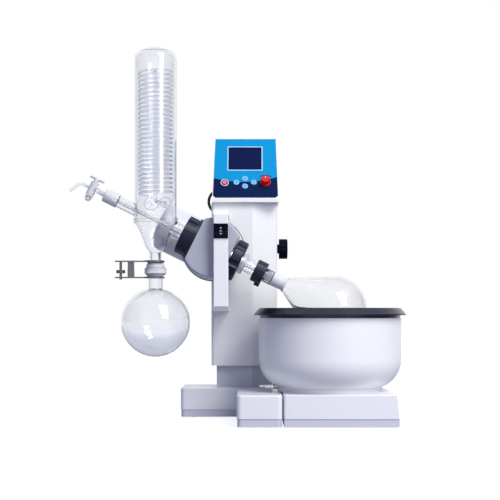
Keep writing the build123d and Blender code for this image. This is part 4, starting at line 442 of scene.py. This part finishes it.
# %% Give each solid its finish
parts_list = {
    white_lacquer: ["lift_sleeve", "console_shell", "front_grip", "rear_cover", "bath_bowl"],
    plinth_lacquer_painted_shade: ["bath_base", "base_casting"],
    motor_lacquer: ["motor_housing"],
    ring_lacquer: ["cover_ring"],
    grey_lacquer: ["mast"],
    # The drive housing is white paint; its darker finish is painted shade for the shadow of the grip and
    # console.
    housing_painted_shade: ["drive_housing"],
    dark_lacquer: ["lift_actuator", "drive_motor"],
    matt_black: ["rocker_frame", "lift_rocker", "side_lock_knob"],
    soft_black: ["condenser_nut", "ejector_nut", "clip_nut", "seal_flange"],
    gloss_black: ["bath_rim"],
    black_rubber: ["rubber_feet", "bath_feet", "head_cable", "drive_belt"],
    pale_plastic: ["guide_pads", "duct_seal", "stopcock_plug"],
    steel_sheet: ["base_plate", "spindle_bearings", "spindle", "bath_pan", "heating_element"],
    dark_steel: ["clamp_upper_jaw", "clamp_lower_jaw", "clamp_nut", "flask_bail"],
    bright_chrome: ["actuator_rod", "drain_cock", "drain_lever"],
    turned_alloy: ["tilt_bracket", "motor_pulley"],
    board_green: ["circuit_board"],
    film: ["control_panel"],
    screen_glow: ["display_window"],
    key_blue: ["left_key", "upper_key", "lower_key", "right_key"],
    control_red: ["speed_knob"],
    button_crimson: ["power_button"],
    clear_glass: ["condenser", "distribution_head", "receiving_flask"],
    collar_plastic: ["drive_collar"],
    tube_plastic: ["feed_tube"],
    coil_glass: ["cooling_coil"],
    flask_glass: ["evaporating_flask"],
    duct_glass: ["vapour_duct"],
    stopcock_glass: ["feed_stopcock"],
}
dressed = set()
for material, names in parts_list.items():
    for name in names:
        mesh = nodes[name].data
        mesh.materials.clear()
        mesh.materials.append(material)
        dressed.add(name)
print("dressed:", len(dressed), "left over:", sorted(set(nodes) - dressed))

# %% [markdown]
# Some pieces start from a solid that is already right. A copy of its mesh has its loose triangles joined,
# and planes cut away what isn't wanted. The solid itself is never touched.

# %% Copying and cutting a solid's mesh
merge_distance = 0.000005


def joined_copy(node_name, copy_name):
    copy = bpy.data.objects.new(copy_name, nodes[node_name].data.copy())
    bpy.context.collection.objects.link(copy)
    with editing(copy):
        bpy.ops.mesh.remove_doubles(threshold=merge_distance)
    return copy


def cut_away(piece, point, way):
    """Deletes what lies on the side of the plane that the direction points to."""
    with editing(piece):
        bpy.ops.mesh.bisect(plane_co=point, plane_no=way, clear_outer=True)


def delete_faces(piece, unwanted):
    """Deletes the faces for which the given test is true. Faces keep a selection only in face mode."""
    with editing(piece, "DESELECT"):
        bpy.ops.mesh.select_mode(type="FACE")
    for face in piece.data.polygons:
        face.select = unwanted(face)
    bpy.ops.object.mode_set(mode="EDIT")
    bpy.ops.mesh.delete(type="FACE")
    bpy.ops.mesh.select_mode(type="VERT")
    bpy.ops.object.mode_set(mode="OBJECT")


def close_ends(piece):
    """Fills each open ring of edges, and turns the faces outwards."""
    with editing(piece, "DESELECT"):
        bpy.ops.mesh.select_non_manifold()
        bpy.ops.mesh.edge_face_add()
        face_outwards()


# %% [markdown]
# Inside the condenser the coolant climbs a glass coil of many close turns, crosses at the top, and comes
# back down a straight tube in the middle. The solid's coil has fewer and thicker turns, so its straight
# tubes are kept from a copy, and a small ring of edges is turned and lifted by a Screw modifier into the
# close coil.

# %% The straight tubes of the coil
coil_bottom = 0.429
coil_top = 0.665
coil_reach = 0.031
coil_turns = 28
tube_reach = 0.0020
straight_reach = 0.0255
straight_top = coil_bottom - 0.004
tube_angle = 80


def belongs_to_turns(face):
    """True for a face of the solid's turns, and false for one of its straight tubes."""
    across = face.center[0] - glass_x
    back = face.center[1] - glass_y
    return sqrt(across**2 + back**2) > straight_reach and face.center[2] > straight_top


coil_tubes = joined_copy("cooling_coil", "coil_tubes")
delete_faces(coil_tubes, belongs_to_turns)
close_ends(coil_tubes)
settle(coil_tubes, "coil_tubes", "drive_head", coil_glass, angle=tube_angle)

# %% The close turns of the coil
port_spread = 0.016
steps_per_turn = 32
start_turn = atan2(sqrt(coil_reach**2 - port_spread**2), -port_spread)
start_place = (glass_x + coil_reach * cos(start_turn), glass_y + coil_reach * sin(start_turn), coil_bottom)
nothing_selected()
bpy.ops.mesh.primitive_circle_add(
    vertices=10, radius=tube_reach, location=start_place, rotation=(pi / 2, 0, start_turn)
)
coil = bpy.context.object
bpy.ops.object.transform_apply(location=False, rotation=True, scale=True)
bpy.ops.object.empty_add(location=(glass_x, glass_y, coil_bottom))
coil_axis = bpy.context.object
screw = coil.modifiers.new("turns", "SCREW")
screw.object = coil_axis
screw.axis = "Z"
screw.angle = 2 * pi
screw.iterations = coil_turns
screw.steps = steps_per_turn
screw.render_steps = steps_per_turn
screw.screw_offset = (coil_top - coil_bottom) / coil_turns
screw.use_merge_vertices = True
finish_modifiers(coil)
bpy.data.objects.remove(coil_axis)
close_ends(coil)
settle(coil, "close_coil", "drive_head", coil_glass, angle=tube_angle)
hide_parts("cooling_coil")
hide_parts("cooling_coil")

# %% [markdown]
# At the foot of the coil each tube ends in a loop of glass at the root of its hose port. The loop is a
# ring, pressed a little flat, that faces the front.

# %% The two loops at the foot of the coil
loop_tube = 0.0016
loop_back = glass_y + 0.018
loop_flatness = 0.88
for loop_name, across, height, reach in (
    ("left_loop", -0.0095, 0.4135, 0.0135),
    ("right_loop", 0.0175, 0.4165, 0.0105),
):
    nothing_selected()
    bpy.ops.mesh.primitive_torus_add(
        major_radius=reach, minor_radius=loop_tube, major_segments=40, minor_segments=10,
        location=(glass_x + across, loop_back, height), rotation=(pi / 2, 0, 0),
    )
    loop = bpy.context.object
    bpy.ops.transform.resize(value=(1.0, 1.0, loop_flatness))
    settle(loop, loop_name, "drive_head", coil_glass, angle=tube_angle)

# %% [markdown]
# Where one piece of glass plugs into the next, both are ground to fit, and the ground skin looks milky. It
# is made from a copy of the glass: two cuts keep the band, the faces that look at the axis are deleted,
# and Solidify gives what is left the thickness of a skin.

# %% A helper that lays a milky skin on a band of glass
skin_thickness = 0.00025
least_outward = 0.25
axis_width = 0.0005


def milky_skin(node_name, name, body, axis_point, axis_way, span, reach=0.05):
    """A skin on the outside of a piece of glass, between two distances along an axis."""
    start, end = span
    skin = joined_copy(node_name, name)
    cut_away(skin, axis_point + axis_way * start, -axis_way)
    cut_away(skin, axis_point + axis_way * end, axis_way)

    def isnt_outside(face):
        arm = Vector(face.center) - axis_point
        arm -= axis_way * arm.dot(axis_way)
        outward = Vector(face.normal).dot(arm.normalized())
        return arm.length > reach or arm.length < axis_width or outward < least_outward

    delete_faces(skin, isnt_outside)
    wall = skin.modifiers.new("wall", "SOLIDIFY")
    wall.thickness = skin_thickness
    wall.offset = 1.0
    finish_modifiers(skin)
    settle(skin, name, body, ground_glass, angle=30)


# %% The milky skins
glass_foot = Vector((glass_x, glass_y, 0))
stopcock_at = -0.2552
stopcock_centre = along_drive(stopcock_at)
barrel_reach = 0.011
neck_span = (0.1215, 0.1540)
socket_span = (-0.2285, -0.2015)
barrel_span = (-0.0145, 0.0145)
cup_span = (0.2740, 0.2898)
ball_span = (0.2902, 0.2985)
milky_skin("evaporating_flask", "flask_neck_skin", "rotor", drive_pivot, drive_down, neck_span)
milky_skin("condenser", "arm_socket_skin", "drive_head", drive_pivot, drive_down, socket_span)
milky_skin("feed_stopcock", "stopcock_skin", "drive_head", stopcock_centre, drive_up, barrel_span, barrel_reach)
milky_skin("receiving_flask", "ball_cup_skin", "drive_head", glass_foot, upright, cup_span)
milky_skin("distribution_head", "ball_skin", "drive_head", glass_foot, upright, ball_span)

# %% [markdown]
# The printed marks say what a control does. Each is a flat shape that an extrude thickens. It is laid on
# the face that carries it: on a control, a ray from outside finds that face, so no mark floats or sinks.

# %% Flat shapes
def arrow_mark(size, squash, turn=0.0):
    """A flat triangle that points up, or is turned by an angle."""
    nothing_selected()
    bpy.ops.mesh.primitive_circle_add(vertices=3, radius=size, fill_type="NGON", location=(0, 0, 0))
    mark = bpy.context.object
    mark.scale = (1.0, squash, 1.0)
    bpy.ops.object.transform_apply(location=False, rotation=False, scale=True)
    mark.rotation_euler = (0, 0, turn)
    bpy.ops.object.transform_apply(location=False, rotation=True, scale=False)
    return mark


def bar_mark(width, height):
    nothing_selected()
    bpy.ops.mesh.primitive_plane_add(size=1, location=(0, 0, 0))
    mark = bpy.context.object
    mark.scale = (width, height, 1.0)
    bpy.ops.object.transform_apply(location=False, rotation=False, scale=True)
    return mark


def hollow_out(mark, rim):
    """Deletes the middle of a flat face, and leaves a rim of that width."""
    with editing(mark):
        bpy.ops.mesh.inset(thickness=rim)
        bpy.ops.mesh.delete(type="FACE")


def round_mark(reach, rim, keep=None):
    """A flat ring. Where a test is given, only the faces for which it is true are kept."""
    nothing_selected()
    bpy.ops.mesh.primitive_circle_add(vertices=48, radius=reach, fill_type="NGON", location=(0, 0, 0))
    mark = bpy.context.object
    hollow_out(mark, rim)
    if keep:
        delete_faces(mark, lambda face: not keep(face.center))
    return mark


# %% Laying a flat shape on a face
ray_start = 0.05
ink_thickness = 0.0003


def thicken(mark, thickness):
    with editing(mark):
        bpy.ops.mesh.extrude_region_move(TRANSFORM_OT_translate={"value": (0, 0, thickness)})
        face_outwards()


def stand_on(mark, place, normal, rise):
    """Turns a mark drawn flat so that it lies on a face, with its top towards the given direction."""
    out = Vector(normal).normalized()
    up = (Vector(rise) - out * out.dot(Vector(rise))).normalized()
    turn = Matrix((up.cross(out), up, out)).transposed().to_4x4()
    mark.matrix_world = Matrix.Translation(place) @ turn


def mark_control(mark, name, control, material, start, way=-panel_out, rise=panel_rise):
    """Lays a mark where a ray first meets a control, and lets it ride with that control."""
    thicken(mark, ink_thickness)
    _, place, normal, _ = nodes[control].ray_cast(start, way)
    stand_on(mark, place, normal, rise)
    settle(mark, name, control, material)


def glue_on_panel(mark, name, material, across, rise, thickness):
    """Lays a mark on the console's face itself."""
    thicken(mark, thickness)
    stand_on(mark, on_panel(across, rise), panel_out, panel_rise)
    settle(mark, name, "carriage", material)


# %% [markdown]
# A pale frame is glued round the screen. It starts as a plane the size of the frame, an inset makes the
# rim, the middle is deleted, and an extrude gives it its small thickness.

# %% The frame round the screen
screen_across = 0.016
screen_rise = 0.098
frame_width = 0.0704
frame_height = 0.0604
frame_rim = 0.0020
frame_thickness = 0.0006
screen_frame = bar_mark(frame_width, frame_height)
hollow_out(screen_frame, frame_rim)
glue_on_panel(screen_frame, "screen_frame", frame_pale, screen_across, screen_rise, frame_thickness)

# %% [markdown]
# Now the marks are laid on the controls. The rocker shows up, stop and down, each key an arrow, and the
# power button an open ring with a bar. The knob has a pointer, and an arc over it says that it turns.

# %% The marks on the rocker: up, stop and down
rocker_across = -0.0278
in_front = -0.2
rocker_arrow = 0.0028
rocker_squash = 0.75
stop_width = 0.0046
stop_height = 0.0016
for mark_name, height, mark in (
    ("rocker_up_mark", 0.3610, arrow_mark(rocker_arrow, rocker_squash)),
    ("rocker_stop_mark", 0.3556, bar_mark(stop_width, stop_height)),
    ("rocker_down_mark", 0.3504, arrow_mark(rocker_arrow, rocker_squash, pi)),
):
    mark_control(mark, mark_name, "lift_rocker", mark_grey, Vector((rocker_across, in_front, height)),
                 way=backwards, rise=upright)

# %% The arrows on the keys
key_arrow = 0.0024
key_squash = 0.8
key_turns = {"left_key": pi / 2, "upper_key": 0.0, "lower_key": pi, "right_key": -pi / 2}


def in_front_of(control):
    """A point straight in front of a control of the console's face."""
    low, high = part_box(control)
    return (Vector(low) + Vector(high)) / 2 + panel_out * ray_start


for key_name, turn in key_turns.items():
    key_mark = arrow_mark(key_arrow, key_squash, turn)
    mark_control(key_mark, key_name + "_mark", key_name, mark_navy, in_front_of(key_name))

# %% The power button's sign, an open ring with a bar, and the ring round the button
sign_reach = 0.0031
sign_rim = 0.0007
sign_gap = 0.0019
bar_width = 0.0008
bar_height = 0.0026
bar_above = 0.0022
surround_reach = 0.0080
surround_rim = 0.0011
surround_thickness = 0.0004
button_ahead = in_front_of("power_button")
button_rise = (button_ahead - panel_foot).dot(panel_rise)
sign_ring = round_mark(sign_reach, sign_rim, keep=lambda place: place[1] < sign_gap)
mark_control(sign_ring, "power_ring_mark", "power_button", mark_white, button_ahead)
sign_bar = bar_mark(bar_width, bar_height)
bar_ahead = button_ahead + panel_rise * bar_above
mark_control(sign_bar, "power_bar_mark", "power_button", mark_white, bar_ahead)
surround = round_mark(surround_reach, surround_rim)
glue_on_panel(surround, "power_surround", mark_white, button_ahead.x, button_rise, surround_thickness)

# %% The knob's pointer, and the arc over the knob
knob_across = 0.0564
knob_rise = 0.0385
pointer_width = 0.0011
pointer_height = 0.0042
pointer_above = 0.0035
arc_reach = 0.0190
arc_rim = 0.0020
arc_foot = 0.0145
pointer = bar_mark(pointer_width, pointer_height)
pointer_ahead = on_panel(knob_across, knob_rise + pointer_above, proud=ray_start)
mark_control(pointer, "knob_pointer", "speed_knob", mark_white, pointer_ahead)
speed_arc = round_mark(arc_reach, arc_rim, keep=lambda place: place[1] > arc_foot)
glue_on_panel(speed_arc, "speed_arc", mark_purple, knob_across, knob_rise, ink_thickness)

# %% [markdown]
# The drain cock is turned by a small chromed butterfly. A plane is cut into strips, its middle is drawn in
# to a waist, an extrude gives it thickness, and a subdivision surface rounds it like a casting. A short
# hub holds it on the cock.

# %% The butterfly of the drain cock
drain_pivot = Vector((0.062, -0.037, 0.0665))
wing_reach = 0.0076
waist_half = 0.0012
wing_growth = 0.0042
wing_power = 1.2
wing_curl = 0.0016
wing_thickness = 0.0012
wing_forward = 0.0002
nothing_selected()
bpy.ops.mesh.primitive_grid_add(x_subdivisions=6, y_subdivisions=2, size=1, location=(0, 0, 0))
butterfly = bpy.context.object
for corner in butterfly.data.vertices:
    along = corner.co.x * 2
    half_height = waist_half + wing_growth * abs(along) ** wing_power
    corner.co = (along * wing_reach, corner.co.y * 2 * half_height, wing_curl * along**2)
thicken(butterfly, wing_thickness)
swell = butterfly.modifiers.new("swell", "SUBSURF")
swell.levels = 2
swell.render_levels = 2
finish_modifiers(butterfly)
stand_on(butterfly, drain_pivot - backwards * wing_forward, -backwards, upright)
settle(butterfly, "drain_butterfly", "drain_lever", bright_chrome, angle=60)
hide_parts("drain_lever")

# %% The hub of the butterfly
hub_radius = 0.0027
hub_depth = 0.0026
hub_forward = 0.0006
hub_edge = 0.0006
nothing_selected()
bpy.ops.mesh.primitive_cylinder_add(
    vertices=32, radius=hub_radius, depth=hub_depth,
    location=drain_pivot - backwards * hub_forward, rotation=(pi / 2, 0, 0),
)
hub = bpy.context.object
soften = hub.modifiers.new("soften", "BEVEL")
soften.width = hub_edge
soften.segments = 3
finish_modifiers(hub)
settle(hub, "drain_hub", "drain_lever", bright_chrome)
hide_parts("drain_lever")

# %% [markdown]
# The bench and the space behind it are one sheet. It glows for the camera and in glass and metal, so it
# looks white there and still keeps a soft shadow, but it throws little light back up at the machine. In
# glass and metal its glow is weak under the machine and grows with the distance, which gives the flasks
# their darker bottom edge. It is staging, so it is no part of the object.

# %% The pale floor
floor_size = 14
floor_drop = 0.0005
floor_tone = (0.29, 0.30, 0.38, 1)
floor_roughness = 0.55
camera_glow = 0.80
glass_fade = {"From Min": 0.25, "From Max": 6.5, "To Min": 0.20, "To Max": 0.72}
nothing_selected()
bpy.ops.mesh.primitive_plane_add(size=floor_size, location=(0, 0, -floor_drop))
floor = bpy.context.object
floor.name = "floor"
floor_paint, floor_tree, floor_shader = new_material("floor_paint")
floor_shader.inputs["Base Color"].default_value = floor_tone
floor_shader.inputs["Roughness"].default_value = floor_roughness
floor_shader.inputs["Emission Color"].default_value = (1, 1, 1, 1)
floor_rays = add_node(floor_tree, "LightPath")
floor_glow = add_node(floor_tree, "Math", {1: camera_glow}, operation="MULTIPLY_ADD")
floor_mirrored = add_node(floor_tree, "Math", operation="MAXIMUM")
floor_dimmed = add_node(floor_tree, "Math", operation="MULTIPLY")
floor_place = add_node(floor_tree, "TexCoord")
floor_far = add_node(floor_tree, "VectorMath", operation="LENGTH")
floor_fade = add_node(floor_tree, "MapRange", glass_fade)
connect(
    floor_tree,
    (floor_place, "Object", floor_far, 0),
    (floor_far, "Value", floor_fade, "Value"),
    (floor_fade, "Result", floor_dimmed, 1),
    (floor_rays, "Is Camera Ray", floor_glow, 0),
    (floor_rays, "Is Glossy Ray", floor_mirrored, 0),
    (floor_rays, "Is Transmission Ray", floor_mirrored, 1),
    (floor_mirrored, 0, floor_dimmed, 0),
    (floor_dimmed, 0, floor_glow, 2),
    (floor_glow, 0, floor_shader, "Emission Strength"),
)
floor.data.materials.append(floor_paint)
print("floor nodes:", len(floor_tree.nodes))

# %% [markdown]
# The world is white for the camera and for what is mirrored or seen through glass. On the object it gives
# a plain blue-grey light that is stronger from above, and a paler one from behind, so that the back isn't
# dull. Towards the left and right the mirrored white falls nearly to black, and that dark is what draws
# the edge lines of clear glass.

# %% The soft world
light_below = (0.09, 0.105, 0.25, 1)
light_above = (0.40, 0.42, 0.58, 1)
light_behind = (0.66, 0.67, 0.72, 1)
world = bpy.data.worlds.new("studio")
bpy.context.scene.world = world
world.use_nodes = True
sky = world.node_tree
sky_shader = sky.nodes["Background"]
sky_rays = add_node(sky, "LightPath")
sky_place = add_node(sky, "TexCoord")
sky_split = add_node(sky, "SeparateXYZ")
side_share = add_node(sky, "Math", operation="ABSOLUTE")
side_range = add_node(sky, "MapRange", {"From Min": 0.55, "From Max": 0.92, "To Min": 1.0, "To Max": 0.04})
side_grey = add_node(sky, "CombineColor")
above_range = add_node(sky, "MapRange", {"From Min": -0.1, "From Max": 0.8})
soft_light = add_node(sky, "Mix", {"A": light_below, "B": light_above}, data_type="RGBA")
behind_range = add_node(sky, "MapRange", {"From Min": 0.05, "From Max": 0.75})
behind_light = add_node(sky, "Mix", {"B": light_behind}, data_type="RGBA")
glass_rays = add_node(sky, "Math", operation="MAXIMUM")
seen_through = add_node(sky, "Mix", data_type="RGBA")
camera_white = add_node(sky, "Mix", {"B": (1, 1, 1, 1)}, data_type="RGBA")
connect(
    sky,
    (sky_place, "Generated", sky_split, "Vector"),
    (sky_split, "X", side_share, 0),
    (side_share, 0, side_range, "Value"),
    (side_range, "Result", side_grey, "Red"),
    (side_range, "Result", side_grey, "Green"),
    (side_range, "Result", side_grey, "Blue"),
    (sky_split, "Z", above_range, "Value"),
    (above_range, "Result", soft_light, "Factor"),
    (sky_split, "Y", behind_range, "Value"),
    (behind_range, "Result", behind_light, "Factor"),
    (soft_light, "Result", behind_light, "A"),
    (sky_rays, "Is Glossy Ray", glass_rays, 0),
    (sky_rays, "Is Transmission Ray", glass_rays, 1),
    (glass_rays, 0, seen_through, "Factor"),
    (behind_light, "Result", seen_through, "A"),
    (side_grey, "Color", seen_through, "B"),
    (seen_through, "Result", camera_white, "A"),
    (sky_rays, "Is Camera Ray", camera_white, "Factor"),
    (camera_white, "Result", sky_shader, "Color"),
)
sky_shader.inputs["Strength"].default_value = 1.0
print("world nodes:", len(sky.nodes))

# %% [markdown]
# One large key lamp high on the front right does the modelling and leaves the left sides in a blue-grey
# shade. A smaller, weaker lamp below it adds little light, but its reflection runs down the condenser.

# %% The lamps
warm_white = (1.0, 0.985, 0.93)
for lamp_name, place, target, width, height, power in (
    ("key_lamp", (1.05, -1.45, 1.95), (0, 0, 0.2), 1.1, 1.3, 50),
    ("strip_lamp", (1.35, -1.87, 0.98), (-0.15, 0, 0.6), 0.85, 0.60, 10),
):
    nothing_selected()
    bpy.ops.object.light_add(type="AREA", location=place)
    lamp = bpy.context.object
    lamp.name = lamp_name
    lamp.data.shape = "RECTANGLE"
    lamp.data.size = width
    lamp.data.size_y = height
    lamp.data.energy = power
    lamp.data.color = warm_white
    lamp.rotation_euler = (Vector(target) - Vector(place)).to_track_quat("-Z", "Y").to_euler()
    print(lamp.name, "watts:", lamp.data.energy)

# %% [markdown]
# The camera stands a little over two metres in front, at the height of the bath's rim, and looks level. The
# lens is long and shifted up, as for a product picture, so the upright edges stay parallel.

# %% The camera
camera_place = (0.026, -2.142, 0.2065)
film_width = 36
lens_length = 80.93
lens_shift = 0.124
nothing_selected()
bpy.ops.object.camera_add(location=camera_place, rotation=(radians(90), 0, 0))
camera = bpy.context.object
camera.data.sensor_width = film_width
camera.data.lens = lens_length
camera.data.shift_y = lens_shift
bpy.context.scene.camera = camera
bpy.context.scene.view_settings.view_transform = "Standard"
print("camera distance:", -camera.location.y, "m")
